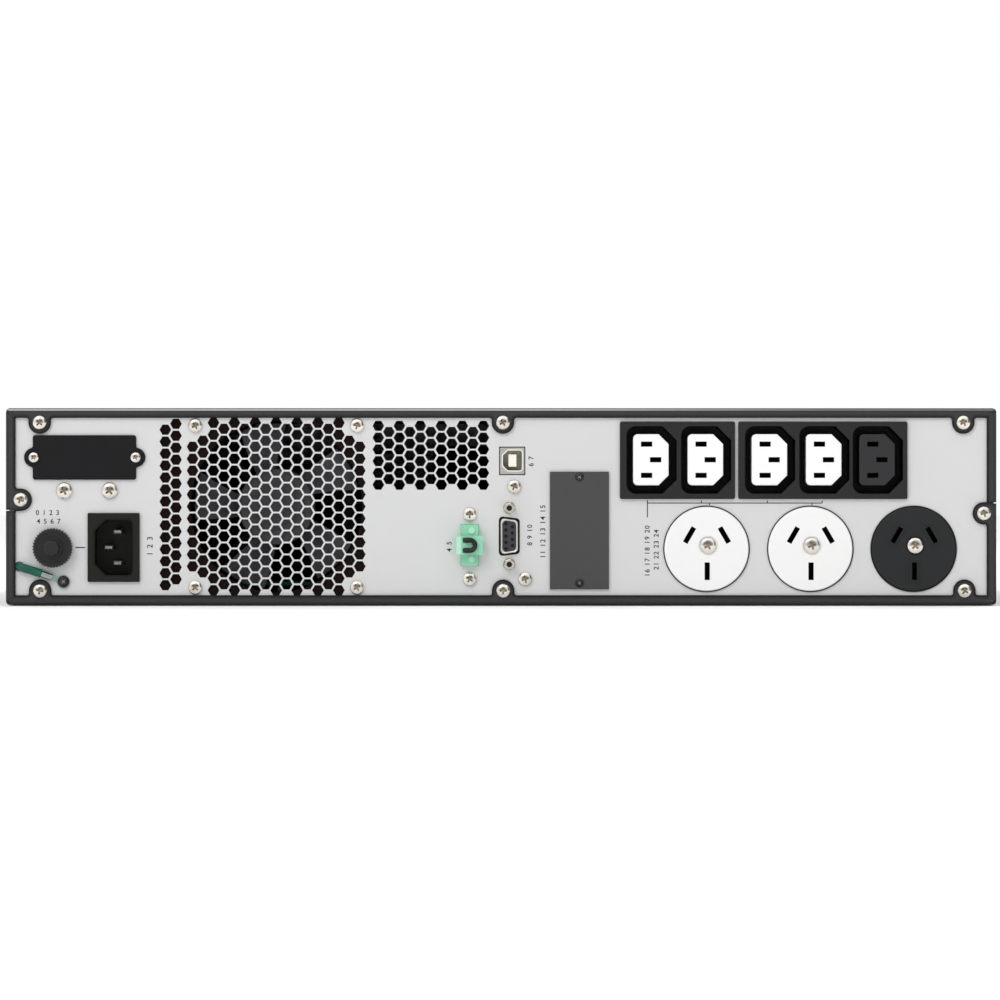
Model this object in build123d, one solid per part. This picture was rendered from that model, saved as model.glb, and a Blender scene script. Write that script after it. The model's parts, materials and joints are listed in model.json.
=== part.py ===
from build123d import *
import os
from math import cos, radians, sin, sqrt

# Rackmount UPS, two rack units high.
# Millimetres. X runs to the right as seen from behind the unit, Y from the rear to the front, Z up.
# The origin is the centre of the footprint, at the bottom of the case.

# ---------------------------------------------------------------- driving dimensions
width = 438.0                # case width between the rack rails
height = 87.0                # two rack units less the working gap
case_depth = 400.0           # steel case, rear lip to front panel
rear_projection = 8.0        # how far the breaker button stands behind the lip
front_projection = 28.0      # bezel and buttons in front of the steel case
sheet = 1.2                  # case sheet thickness
panel_gap = 0.3              # assembly gap between panels and the case walls
lip_width = 3.75             # folded lip round the rear opening
case_corner_radius = 1.8
bend_radius = 1.3
seam_gap = 0.4
left_seam_z = 41.8
right_seam_z = 45.1
lap_height = 9.0             # inner flange of the chassis behind each seam

y_lip = -(case_depth + rear_projection + front_projection) / 2 + rear_projection
y_panel = y_lip + sheet               # outer face of the rear panel
y_inside = y_panel + sheet            # inner face of the rear panel
y_front = y_lip + case_depth          # outer face of the front panel
y_nose = y_front + front_projection   # foremost point, the button caps
bezel_face = y_nose - 0.8

# rear lip tabs and their screws: x, z and the direction from the lip towards the panel
tab_radius = 4.4
tab_root_radius = 1.5
tab_places = [
    (-204.0, 80.6, (0, -1)),
    (0.8, 80.6, (0, -1)),
    (204.3, 80.6, (0, -1)),
    (-203.8, 6.3, (0, 1)),
    (0.9, 6.3, (0, 1)),
    (204.8, 6.3, (0, 1)),
    (-212.4, 46.5, (1, 0)),
    (213.4, 40.5, (-1, 0)),
]

# countersunk screws through the cover's sides
side_screw_y = (-150.0, 0.0, 120.0)
side_screw_head = 2.9
side_screw_shank = 1.5
side_screw_length = 4.5

# pan-head screws: head radius, head height, shank radius, shank length
standard_pan = (3.2, 1.9, 1.5, 7.0)
large_pan = (3.75, 2.1, 2.0, 8.0)
small_pan = (2.4, 1.4, 1.2, 5.0)
dark_pan = (1.85, 0.8, 1.0, 4.0)
outlet_pan = (3.65, 1.4, 1.8, 12.0)
earth_pan = (2.6, 1.5, 1.5, 6.0)
screw_hole_gap = 0.05

# hexagon grilles
hole_pitch = 5.29
hole_across_flats = 4.56
fan_column_pitch = 4.62
side_grille_x = (-148.5, -143.8)
side_grille_top = (77.5, 80.1)
side_grille_rows = 14
upper_grille_x = -54.3
upper_grille_column_pitch = 4.645
upper_grille_pitch = 5.21
upper_grille_columns = 11
upper_grille_tops = (79.2, 76.5)
upper_grille_rows = (6, 5)
upper_hole_across_flats = 4.5

# cooling fan
fan_x = -99.5
fan_z = height / 2
fan_size = 80.0
fan_depth = 25.0
fan_screw_offset = 35.75
fan_duct_radius = 38.0
fan_hub_radius = 17.0
fan_tip_radius = 36.8
fan_blades = 5
fan_first_blade = 35.0       # degrees from +X, seen from behind
fan_blade_pitch = 46.0
fan_blade_chord = 21.0
fan_blade_thickness = 1.4
fan_blade_root = 3.0         # length of each blade buried in the hub
fan_flange = 4.0
fan_wall = 1.5
fan_hole_radius = 2.2
fan_boss_radius = 15.5
fan_boss_depth = 3.5
fan_strut_width = 3.5
fan_strut_angles = (45, 135, 225, 315)
fan_end_gap = 1.0
fan_shaft_radius = 1.5
fan_shaft_bore = 1.56

# external battery port blank
blank_x = -184.2
blank_z = 65.2
blank_width = 45.7
blank_height = 19.7
blank_thickness = 1.0
blank_screw_x = (-206.6, -161.6)
blank_ear_radius = 4.3
port_width = 38.0
port_height = 14.0

large_screw_x = (-193.2, -173.1)
large_screw_z = 50.5

# circuit breaker
breaker_x = -198.2
breaker_z = 25.2
breaker_nut_radius = 8.8
breaker_nut_teeth = 40
breaker_nut_height = 4.5
breaker_barrel_radius = 4.65
breaker_barrel_length = 5.7
breaker_button_radius = 3.3
breaker_bore_radius = 3.38
breaker_bore_depth = 14.0
breaker_nut_rim = 1.6
breaker_dish_depth = 0.5
breaker_tooth_depth = 0.5
breaker_body_width = 18.0
breaker_body_height = 24.0
breaker_body_depth = 28.0

# power inlet
inlet_x = -171.3
inlet_z = 25.4
inlet_width = 23.0
inlet_height = 30.5
inlet_face = 1.2
inlet_depth = 24.0
inlet_well_width = 16.9
inlet_well_height = 24.7
inlet_well_depth = 17.0
inlet_chamfer = 5.0
inlet_flange_step = 1.1      # flange beyond the body on each side
inlet_rim = 0.6              # shallow step round the mouth of the well
inlet_rim_depth = 0.5
inlet_tail = 6.0             # solder tails behind the housing
inlet_pin_recess = 3.0
inlet_pin_places = [(-169.7, 32.4), (-169.7, 18.4), (-173.7, 25.4)]
inlet_pin_width = 4.0
inlet_pin_thickness = 2.0

# emergency power off connector
epo_x = -14.1
epo_z = 26.4
epo_plug_width = 11.9
epo_plug_height = 8.5
epo_plug_front = 7.2
epo_flange_width = 7.8
epo_flange_height = 18.2
epo_header_offset = 0.2
epo_header_front = 3.0
epo_header_wall = 0.8
epo_socket_inset = 0.6
epo_tongue_gap = 0.4
epo_plug_gap = 0.3
epo_pip_radius = 1.3
epo_pip_offset = 6.6
epo_pip_step = 0.9
epo_screw_z = (40.0, 11.4)
jumper_radius = 1.1
jumper_half_gap = 2.25
jumper_left_reach = 1.7
jumper_right_reach = 2.6
jumper_root = 3.0
jumper_root_bend = 1.3

# communication sockets
usb_x = 4.9
usb_z = 63.7
usb_width = 10.7
usb_height = 11.7
usb_gap = 0.45
usb_depth = 16.0
usb_face = 0.3
usb_back = 2.0
usb_mouth_size = (8.4, 8.8)
usb_mouth_offset = (0.1, 0.15)
usb_tongue_size = (3.5, 5.4)
serial_x = 3.6
serial_z = 30.4
serial_jack_spacing = 24.9
serial_pin_pitch = 2.77
serial_hole_radius = 0.55
serial_hole_depth = 6.0
serial_columns = ((-1.5, 5), (1.4, 4))
serial_face = 2.0
serial_wall = 0.7
serial_gap = 0.9
serial_insert_recess = 0.6
serial_flange_size = (12.5, 30.8)
serial_flange_gap = 0.8      # room for the gasket behind the panel
serial_flange_thickness = 1.0
jack_radius = 2.6
jack_height = 4.5
jack_shank_radius = 1.5
jack_shank_length = 6.0
jack_tapping_radius = 1.25
board_setback = 12.0         # rear of the panel to the communication board
comm_board_x = (-26.0, 17.0)
comm_board_z = (6.0, 49.0, 74.0)
comm_board_step_x = -3.0
board_screw_places = [(5.8, 52.3), (10.6, 11.4)]

# interface card slot
slot_x = 34.6
slot_z = 32.9
slot_width = 26.1
slot_height = 52.0
slot_screw_z = (56.6, 9.7)
slot_cover_thickness = 1.0
cage_side_inset = 1.0
cage_end_inset = 5.0
cage_wall = 1.0

# rectangular outlets
outlet_blocks = {
    "twin_outlet_block": (52.5, 103.4, (66.2, 90.3)),
    "triple_outlet_block": (104.8, 179.6, (118.6, 142.6, 166.2)),
}
outlet_z = 64.2
block_low_z = 46.8
block_high_z = 81.1
block_face = 1.5
block_depth = 26.0
block_flange_step = 1.3
outlet_well_depth = 18.0
outlet_well_width = 22.2
outlet_well_height = 29.9
insert_width = 15.7
insert_height = 22.6
insert_recess = 0.4
insert_floor = 1.5
insert_slot_places = [(-1.9, 6.9), (-1.9, -6.9), (2.1, 0.0)]
insert_slot_size = (5.0, 2.3)
contact_size = (4.4, 1.8)
contact_fork_gap = 0.8
contact_length = 5.0
outlet_board_x = (53.0, 179.0)
outlet_board_z = (48.0, 80.0)

# round outlets
round_outlets = {"round_outlet_left": 90.8, "round_outlet_middle": 136.7, "round_outlet_right": 182.4}
round_z = 24.8
round_radius = 18.6
round_flange_radius = 20.5
round_face = 1.0
round_depth = 18.0
round_slot_width = 2.3
round_slot_length = 7.8
round_slot_depth = 16.0
round_slots = [(-7.5, 6.1, 60.0), (7.9, 6.1, -60.0), (0.3, -9.9, 90.0)]
round_rim = 0.8
round_screw_offset = (0.7, 1.4)
round_sink_radius = 4.3
round_sink_depth = 0.8

# earth lead
earth_hole = (-213.0, 17.0)
earth_barrel = (-203.2, 13.9)
earth_screw_place = (-193.5, 10.3)
earth_lead_radius = 1.9
earth_bend_radius = 2.6
earth_hole_gap = 0.3
earth_inner_length = 14.0
earth_barrel_radius = 1.5
earth_barrel_length = 5.0
earth_ring_radius = 3.0
earth_ring_thickness = 0.8
earth_neck_width = 2.6
earth_inner_radius = 2.6
earth_inner_barrel = 7.0

# battery bay
bay_left = 19.2
bay_right = 213.8
bay_top = 76.0
bay_rear = -122.0
tray_left = 20.0
tray_right = 213.0
tray_floor = 1.8
tray_rear = -117.0
tray_front = y_front - 2.0
battery_width = 94.0
battery_length = 151.0
battery_height = 65.0
battery_gap = 1.0
tray_wall_top = 58.0
pull_hole_z = 39.0
pull_hole_size = (80.0, 18.0)
socket_x = 116.5
connector_width = 28.0
connector_depth = 16.0
contact_spacing = 12.0
door_lap = 0.6
door_screw_x = (70.0, 165.0)
door_head_radius = 4.0
door_head_height = 6.0
door_shank_radius = 1.5
post_x = (40.0, 195.0)       # access panel posts
post_z = 81.0
post_radius = 3.0
post_tip_radius = 1.8
post_tip_length = 5.0

# front
bezel_split_x = 12.0
bezel_wall = 2.5
bezel_edge_radius = 3.0
panel_split_gap = 0.6
bezel_posts = [(-208.0, 77.0), (-208.0, 10.0), (5.0, 77.0), (5.0, 10.0)]
left_vents = (-201.0, 10)    # first slot's x and the number of slots
middle_vents = (-30.0, 5)
right_vents = (165.0, 6)
display_x = -75.0
display_z = height / 2
display_radius = 32.5
display_gap = 0.5
display_shaft_radius = 6.0
display_shaft_bore = 6.07
display_depth = 14.0
window_size = (44.0, 27.0)
window_rise = 5.0
window_depth = 1.6
button_radius = 3.0
button_gap = 0.35
button_names = ("power_button", "up_button", "down_button", "enter_button")
button_pitch = 10.0
button_drop = 19.0
button_bore_depth = 10.0
collar_radius = 4.2
collar_depth = 5.0
collar_thickness = 1.5
vent_slot_width = 4.0
vent_slot_height = 56.0
vent_slot_pitch = 8.0

# rack-ear nuts
ear_nut_radius = 4.0
ear_nut_depth = 2.6
ear_hole_radius = 2.05
ear_hole_y = (150.0, 180.0)
ear_hole_z = (16.0, 71.0)

# board inside the power section
board_z = 8.0
board_thickness = 1.6
board_left = -205.0
board_right = 5.0
board_rear = -165.0
board_front = 175.0
board_top = board_z + board_thickness
standoff_radius = 3.0
standoff_inset = 8.0
sink_places = ((-128.0, -1), (-71.0, 1))
sink_y = (-140.0, 20.0)
sink_base = 4.0
sink_height = 62.0
sink_fins = 8
sink_first_fin = 3.0
sink_fin_pitch = 8.0
sink_fin_length = 22.0
sink_fin_thickness = 1.8
capacitor_x = (-118.0, -81.0)
capacitor_y = (60.0, 100.0)
capacitor_radius = 16.5
capacitor_height = 50.0
core_x = (-195.0, -140.0)
core_y = (60.0, 110.0)
core_height = 48.0
core_limb = 8.0
core_middle_limb = 9.0
core_window_reach = 19.5
coil_overhang = 6.0
inductor_places = ((-180.0, -60.0), (-180.0, -5.0), (-35.0, 60.0))
inductor_radius = 21.0
inductor_bore = 9.0
inductor_height = 20.0


# ---------------------------------------------------------------- helpers
def slab(outline, y_rear, y_front_face):
    """Solid of an outline drawn as seen from behind, between two depths."""
    return extrude(Plane.XZ.offset(-y_front_face) * outline, amount=y_front_face - y_rear)


def block(x_low, x_high, y_low, y_high, z_low, z_high):
    """Box between two corners."""
    centre = Pos((x_low + x_high) / 2, (y_low + y_high) / 2, (z_low + z_high) / 2)
    return centre * Box(x_high - x_low, y_high - y_low, z_high - z_low)


def rectangle_between(x_low, x_high, z_low, z_high, radius=0.0):
    """Rectangle outline between two corners, with rounded corners if a radius is given."""
    centre = Pos((x_low + x_high) / 2, (z_low + z_high) / 2)
    if radius:
        return centre * RectangleRounded(x_high - x_low, z_high - z_low, radius)
    return centre * Rectangle(x_high - x_low, z_high - z_low)


def rod(radius, x, z, y_rear, y_front_face):
    """Round bar along Y."""
    return slab(Pos(x, z) * Circle(radius), y_rear, y_front_face)


def bar(x, z, bar_width, bar_height, y_rear, y_front_face):
    """Rectangular bar along Y, centred on x and z."""
    return slab(Pos(x, z) * Rectangle(bar_width, bar_height), y_rear, y_front_face)


def edges_at(solid, y):
    """Edges of a solid that lie in the plane at depth y."""
    return solid.edges().filter_by_position(Axis.Y, y - 0.01, y + 0.01)


def keyed_outline(x, z, outline_width, outline_height, left=("fillet", 0), right=("fillet", 0)):
    """Rectangle whose left and right corner pairs are each rounded or cut off."""
    outline = Rectangle(outline_width, outline_height)
    for side, (form, size) in (("left", left), ("right", right)):
        corners = outline.vertices().sort_by(Axis.X)
        pair = corners[:2] if side == "left" else corners[-2:]
        if size:
            outline = fillet(pair, size) if form == "fillet" else chamfer(pair, size)
    return Pos(x, z) * outline


def hexagon(across_flats):
    """Hexagon outline with flat top and bottom."""
    return RegularPolygon(across_flats / sqrt(3), 6)


def pan_screw(x, z, seat, sizes, turn=20.0):
    """Pan-head screw with a cross recess, its seat at depth seat and its shank towards +Y."""
    head_radius, head_height, shank_radius, shank_length = sizes
    rim = 0.3 * head_height
    dome = ThreePointArc((0, -head_height), (0.62 * head_radius, -0.86 * head_height), (head_radius, -rim))
    side = Polyline(
        (head_radius, -rim),
        (head_radius, 0),
        (shank_radius, 0),
        (shank_radius, shank_length),
        (0, shank_length),
        (0, -head_height),
    )
    screw = revolve(make_face(dome + side), Axis.Y)
    arm_length = 1.1 * head_radius
    arm_width = 0.24 * head_radius
    recess_depth = 0.6 * head_height
    arm = Pos(0, -head_height + recess_depth / 2, 0) * Box(arm_length, recess_depth, arm_width)
    screw = screw - [Rot(0, turn, 0) * arm, Rot(0, turn + 90, 0) * arm]
    return Pos(x, seat, z) * screw


def save(node, solids):
    """Write one node. A list of solids becomes a group of separate solids."""
    shape = Compound(children=list(solids)) if isinstance(solids, (list, tuple)) else solids
    export_step(shape, f"parts/{node}.step")


def save_all(names, shapes):
    """Write several nodes."""
    for node, shape in zip(names, shapes):
        save(node, shape)


# ---------------------------------------------------------------- case shells
def lip_opening():
    """Outline of the rear opening inside the lip and its screw tabs."""
    inner_x = width / 2 - lip_width
    low_z = lip_width
    high_z = height - lip_width
    opening = rectangle_between(-inner_x, inner_x, low_z, high_z)
    neck = 2 * tab_radius
    for x, z, (step_x, step_z) in tab_places:
        root = Pos(x - step_x * tab_radius, z - step_z * tab_radius) * Rectangle(neck, neck)
        opening = opening - [Pos(x, z) * Circle(tab_radius), root]
    near = 0.01
    roots = []
    for corner in opening.vertices():
        on_side = abs(abs(corner.X) - inner_x) < near
        on_level = min(abs(corner.Y - low_z), abs(corner.Y - high_z)) < near
        beside_seam = on_side and left_seam_z - tab_radius < corner.Y < right_seam_z + 1
        near_seam = beside_seam and min(abs(corner.Y - left_seam_z), abs(corner.Y - right_seam_z)) < 1
        if on_side != on_level and not near_seam:
            roots.append(corner)
    return fillet(roots, tab_root_radius)


def case_shell():
    """Whole sheet case with its rear lip, mitred at the corners, before it is split at the seam."""
    outline = Pos(0, height / 2) * RectangleRounded(width, height, case_corner_radius)
    shell = slab(outline, y_lip, y_front)
    shell = fillet(edges_at(shell, y_lip), bend_radius)
    inside = rectangle_between(
        -width / 2 + sheet, width / 2 - sheet, sheet, height - sheet, case_corner_radius - sheet
    )
    shell = shell - slab(inside, y_panel, y_front + 1)
    shell = shell - slab(lip_opening(), y_lip - 1, y_panel + 1)
    mitre_length = lip_width * sqrt(2) + 2
    for side in (-1, 1):
        for level in (-1, 1):
            x = side * (width / 2 - lip_width / 2)
            z = height / 2 + level * (height / 2 - lip_width / 2)
            mitre = Pos(x, z) * Rot(0, 0, 45 * side * level) * Rectangle(mitre_length, 0.3)
            shell = shell - slab(mitre, y_lip - 1, y_panel)
    for x, z, _ in tab_places:
        shell = shell - rod(standard_pan[2] + screw_hole_gap, x, z, y_lip - 1, y_panel + 1)
    return shell


def seam_z(side):
    """Height of the seam on the left side (-1) or the right side (1)."""
    return left_seam_z if side < 0 else right_seam_z


def side_screw_z(side):
    """Height of the screws through one side of the cover."""
    return seam_z(side) + lap_height / 2


def ear_axes():
    """Places and sides of the tapped holes for the rack ears."""
    return [(side, y, z) for side in (-1, 1) for y in ear_hole_y for z in ear_hole_z]


def side_bar(side, y, z, radius, x_from, x_to):
    """Round bar along X on one side of the case, from x_from to x_to off the centre plane."""
    return Pos(side * (x_from + x_to) / 2, y, z) * Rot(0, 90, 0) * Cylinder(radius, x_to - x_from)


def case_halves():
    """Lower chassis and upper cover, parted at the side seams."""
    shell = case_shell()
    wall_x = width / 2
    inner_x = wall_x - sheet
    for side, y, z in ear_axes():
        shell = shell - side_bar(side, y, z, ear_hole_radius, inner_x - 1, wall_x + 1)
    lower_zone = []
    upper_zone = []
    for side in (-1, 1):
        x_low, x_high = sorted((0, side * (wall_x + 1)))
        cut = seam_z(side)
        lower_zone.append(block(x_low, x_high, y_lip - 1, y_front + 1, -1, cut - seam_gap / 2))
        upper_zone.append(block(x_low, x_high, y_lip - 1, y_front + 1, cut + seam_gap / 2, height + 1))
    lower = shell & (lower_zone[0] + lower_zone[1])
    upper = shell & (upper_zone[0] + upper_zone[1])
    for side in (-1, 1):
        x_low, x_high = sorted((side * (inner_x - sheet), side * inner_x))
        low_z = seam_z(side) - lap_height
        lap = block(x_low, x_high, y_inside + 4, y_front - 4, low_z, seam_z(side) + lap_height)
        lower = lower + lap
        for y in side_screw_y:
            z = side_screw_z(side)
            hole = side_bar(side, y, z, side_screw_shank + screw_hole_gap, inner_x - 2 * sheet, wall_x + 1)
            sink = Pos(side * (wall_x - sheet / 2), y, z) * Rot(0, 90 * side, 0)
            cone = sink * Cone(side_screw_shank + screw_hole_gap, side_screw_head, sheet)
            lower = lower - hole
            upper = upper - [hole, cone]
    return lower, upper


def side_screw(side, y):
    """Countersunk screw through the cover into the chassis lap."""
    wall_x = width / 2
    z = side_screw_z(side)
    shank = side_bar(side, y, z, side_screw_shank, wall_x - side_screw_length, wall_x - sheet)
    turn = Pos(side * (wall_x - sheet / 2), y, z) * Rot(0, 90 * side, 0)
    head = turn * Cone(side_screw_shank, side_screw_head - screw_hole_gap, sheet)
    arm_length = 3.2
    arm_width = 0.7
    arm_depth = 0.9
    at_face = Pos(side * (wall_x - arm_depth / 2), y, z)
    arms = [at_face * Box(arm_depth, arm_length, arm_width), at_face * Box(arm_depth, arm_width, arm_length)]
    return (head + shank) - arms


def cover_screws():
    """Pan screws in the lip tabs and countersunk screws in the sides."""
    screws = [pan_screw(x, z, y_lip, standard_pan) for x, z, _ in tab_places]
    screws += [side_screw(side, y) for side in (-1, 1) for y in side_screw_y]
    return screws


# ---------------------------------------------------------------- rear panel
def grille_holes():
    """Places and sizes of every hexagon hole in the rear panel."""
    holes = []
    for x, top in zip(side_grille_x, side_grille_top):
        holes += [(x, top - row * hole_pitch, hole_across_flats) for row in range(side_grille_rows)]
    fan_rows = {0: 15, 1: 14, 7: 12, 8: 11}
    for column in range(-8, 9):
        rows = fan_rows.get(abs(column), fan_rows[column % 2])
        for row in range(rows):
            z = fan_z + (row - (rows - 1) / 2) * hole_pitch
            holes.append((fan_x + column * fan_column_pitch, z, hole_across_flats))
    for column in range(upper_grille_columns):
        x = upper_grille_x + column * upper_grille_column_pitch
        for row in range(upper_grille_rows[column % 2]):
            z = upper_grille_tops[column % 2] - row * upper_grille_pitch
            holes.append((x, z, upper_hole_across_flats))
    return holes


def serial_outline(grow):
    """Nine-way connector outline, taller on its left side, larger all round by grow."""
    half_width = 3.75 + grow
    left_half = 8.0 + grow
    right_half = 6.9 + grow
    outline = make_face(
        Polyline(
            (-half_width, -left_half),
            (half_width, -right_half),
            (half_width, right_half),
            (-half_width, left_half),
            close=True,
        )
    )
    return Pos(serial_x, serial_z) * fillet(outline.vertices(), 1.7)


def fan_screw_places():
    """Centres of the four screws that hold the fan."""
    return [(fan_x + i * fan_screw_offset, fan_z + j * fan_screw_offset) for i in (-1, 1) for j in (-1, 1)]


def panel_screw_list():
    """Every bright pan screw on the rear panel: x, z, seat depth and sizes."""
    screws = [(x, z, y_panel, standard_pan) for x, z in fan_screw_places()]
    screws += [(epo_x + epo_header_offset, z, y_panel, standard_pan) for z in epo_screw_z]
    screws += [(x, z, y_panel, standard_pan) for x, z in board_screw_places]
    screws += [(x, large_screw_z, y_panel, large_pan) for x in large_screw_x]
    screws += [(x, blank_z, y_panel - blank_thickness, small_pan) for x in blank_screw_x]
    return screws


def rear_panel():
    """Rear panel with a hole or cut-out for everything that it carries."""
    edge_x = width / 2 - sheet - panel_gap
    sheet_outline = rectangle_between(-edge_x, edge_x, sheet + panel_gap, height - sheet - panel_gap)
    holes = [Pos(x, z) * hexagon(size) for x, z, size in grille_holes()]
    holes += [Pos(x, z) * Circle(sizes[2] + screw_hole_gap) for x, z, _, sizes in panel_screw_list()]
    holes += [Pos(x, z) * Circle(standard_pan[2] + screw_hole_gap) for x, z, _ in tab_places]
    holes += [Pos(slot_x, z) * Circle(dark_pan[2] + screw_hole_gap) for z in slot_screw_z]
    holes += [Pos(blank_x, blank_z) * Rectangle(port_width, port_height)]
    holes += [Pos(breaker_x, breaker_z) * Circle(breaker_barrel_radius + screw_hole_gap)]
    holes += [Pos(inlet_x, inlet_z) * Rectangle(inlet_width - 2, inlet_height - 2)]
    header = Rectangle(epo_flange_width + 0.2, epo_flange_height + 0.2)
    holes += [Pos(epo_x + epo_header_offset, epo_z) * header]
    holes += [Pos(usb_x, usb_z) * Rectangle(usb_width + 2 * usb_gap, usb_height + 2 * usb_gap)]
    holes += [serial_outline(serial_gap)]
    holes += [Pos(serial_x, z) * Circle(jack_radius + 0.1) for z in jack_heights()]
    holes += [Pos(slot_x, slot_z) * Rectangle(slot_width - 4, slot_height - 12)]
    for x_low, x_high, _ in outlet_blocks.values():
        inset = block_flange_step - 0.1
        holes += [rectangle_between(x_low + inset, x_high - inset, block_low_z + inset, block_high_z - inset)]
    holes += [Pos(x, round_z) * Circle(round_radius + 0.4) for x in round_outlets.values()]
    holes += [Pos(*earth_hole) * Circle(earth_lead_radius + earth_hole_gap)]
    holes += [Pos(*earth_screw_place) * Circle(earth_pan[2] + screw_hole_gap)]
    return slab(sheet_outline - holes, y_panel, y_inside)


def port_blank():
    """Cover plate with a rounded ear round each screw."""
    plate = Pos(blank_x, blank_z) * RectangleRounded(blank_width, blank_height, 1.1)
    for x in blank_screw_x:
        plate = plate + Pos(x, blank_z) * Circle(blank_ear_radius)
    ear_roots = [
        corner
        for corner in plate.vertices()
        if abs(abs(corner.X - blank_x) - blank_width / 2) < 0.01 and abs(corner.Y - blank_z) < 6
    ]
    plate = fillet(ear_roots, 1.0)
    for x in blank_screw_x:
        plate = plate - Pos(x, blank_z) * Circle(small_pan[2] + screw_hole_gap)
    return slab(plate, y_panel - blank_thickness, y_panel)


# ---------------------------------------------------------------- circuit breaker
def breaker():
    """Breaker body with its threaded barrel, the knurled nut and the reset button."""
    x, z = breaker_x, breaker_z
    barrel_end = y_panel - breaker_barrel_length
    nut_face = y_panel - breaker_nut_height
    body = bar(x, z - 1, breaker_body_width, breaker_body_height, y_inside, y_inside + breaker_body_depth)
    body = body + rod(breaker_barrel_radius, x, z, barrel_end, y_inside)
    body = body - rod(breaker_bore_radius, x, z, barrel_end - 1, y_inside + breaker_bore_depth)
    grooves = []
    for tooth in range(breaker_nut_teeth):
        angle = radians(360 * tooth / breaker_nut_teeth)
        groove_x = x + breaker_nut_radius * cos(angle)
        groove_z = z + breaker_nut_radius * sin(angle)
        grooves.append(Pos(groove_x, groove_z) * Circle(breaker_tooth_depth))
    nut = Pos(x, z) * Circle(breaker_nut_radius) - grooves - Pos(x, z) * Circle(breaker_barrel_radius)
    dish_radius = breaker_nut_radius - breaker_nut_rim
    nut = slab(nut, nut_face, y_panel) - rod(dish_radius, x, z, nut_face - 1, nut_face + breaker_dish_depth)
    button_tip = y_lip - rear_projection
    button = rod(breaker_button_radius, x, z, button_tip, y_inside + breaker_bore_depth - 4)
    button = fillet(edges_at(button, button_tip), 0.5)
    return body, nut, button


# ---------------------------------------------------------------- power inlet
def inlet():
    """Inlet housing with its keyed well, and the three flat pins."""
    face = y_panel - inlet_face
    well_end = face + inlet_well_depth
    housing_end = face + inlet_depth
    flange = Pos(inlet_x, inlet_z) * RectangleRounded(inlet_width, inlet_height, 0.6)
    body_width = inlet_width - 2 * inlet_flange_step
    body_height = inlet_height - 2 * inlet_flange_step
    housing = slab(flange, face, y_panel)
    housing = housing + bar(inlet_x, inlet_z, body_width, body_height, y_panel, housing_end)
    rim_width = 2 * inlet_rim
    for grow, corner_radius, end in ((0, 2.5, well_end), (rim_width, 3.0, face + inlet_rim_depth)):
        well = keyed_outline(
            inlet_x,
            inlet_z,
            inlet_well_width + grow,
            inlet_well_height + grow,
            ("chamfer", inlet_chamfer),
            ("fillet", corner_radius),
        )
        housing = housing - slab(well, face - 1, end)
    pins = []
    pin_tip = face + inlet_pin_recess
    for x, z in inlet_pin_places:
        housing = housing - bar(x, z, inlet_pin_width, inlet_pin_thickness, well_end - 1, housing_end + 1)
        pin = bar(x, z, inlet_pin_width, inlet_pin_thickness, pin_tip, housing_end + inlet_tail)
        pins.append(chamfer(edges_at(pin, pin_tip), 0.5))
    return housing, pins


# ---------------------------------------------------------------- fan
def fan():
    """Fan frame with the motor support on its inner side, and the rotor on its shaft."""
    rear = y_inside
    front = rear + fan_depth
    centre = Pos(fan_x, fan_z)
    duct = Circle(fan_duct_radius)
    corners = RectangleRounded(fan_size, fan_size, 5)
    holes = [Pos(x - fan_x, z - fan_z) * Circle(fan_hole_radius) for x, z in fan_screw_places()]
    flange = centre * (corners - duct - holes)
    tube = centre * (Circle(fan_duct_radius + fan_wall) - duct)
    frame = slab(flange, rear, rear + fan_flange) + slab(flange, front - fan_flange, front)
    frame = frame + slab(tube, rear, front)
    support = Circle(fan_boss_radius)
    strut_middle = (fan_boss_radius + fan_duct_radius) / 2
    strut_length = fan_duct_radius - fan_boss_radius + 2 * fan_wall
    for angle in fan_strut_angles:
        strut = Pos(strut_middle, 0) * Rectangle(strut_length, fan_strut_width)
        support = support + Rot(0, 0, angle) * strut
    support = support & Circle(fan_duct_radius + fan_wall / 2)
    boss_rear = front - fan_boss_depth
    frame = frame + slab(centre * support, boss_rear, front)
    frame = frame - rod(fan_shaft_bore, fan_x, fan_z, boss_rear - 1, front - 1)

    hub_rear = rear + fan_end_gap
    hub_front = boss_rear - fan_end_gap
    hub_depth = hub_front - hub_rear
    rotor = Cylinder(fan_hub_radius, hub_depth)
    root_radius = fan_hub_radius - fan_blade_root
    blade_length = fan_tip_radius - root_radius + 3
    for number in range(fan_blades):
        blade = Rot(fan_blade_pitch, 0, 0) * Box(blade_length, fan_blade_chord, fan_blade_thickness)
        blade = Pos(root_radius + blade_length / 2, 0, 0) * blade
        rotor = rotor + Rot(0, 0, -fan_first_blade - 360 * number / fan_blades) * blade
    rotor = rotor & Cylinder(fan_tip_radius, hub_depth)
    rotor = Pos(fan_x, (hub_rear + hub_front) / 2, fan_z) * Rot(-90, 0, 0) * rotor
    return frame, rotor + rod(fan_shaft_radius, fan_x, fan_z, hub_front - 1, front - 1.5)


# ---------------------------------------------------------------- communication panel
def jack_heights():
    """Heights of the two jackscrews beside the serial connector."""
    return (serial_z - serial_jack_spacing / 2, serial_z + serial_jack_spacing / 2)


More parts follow.
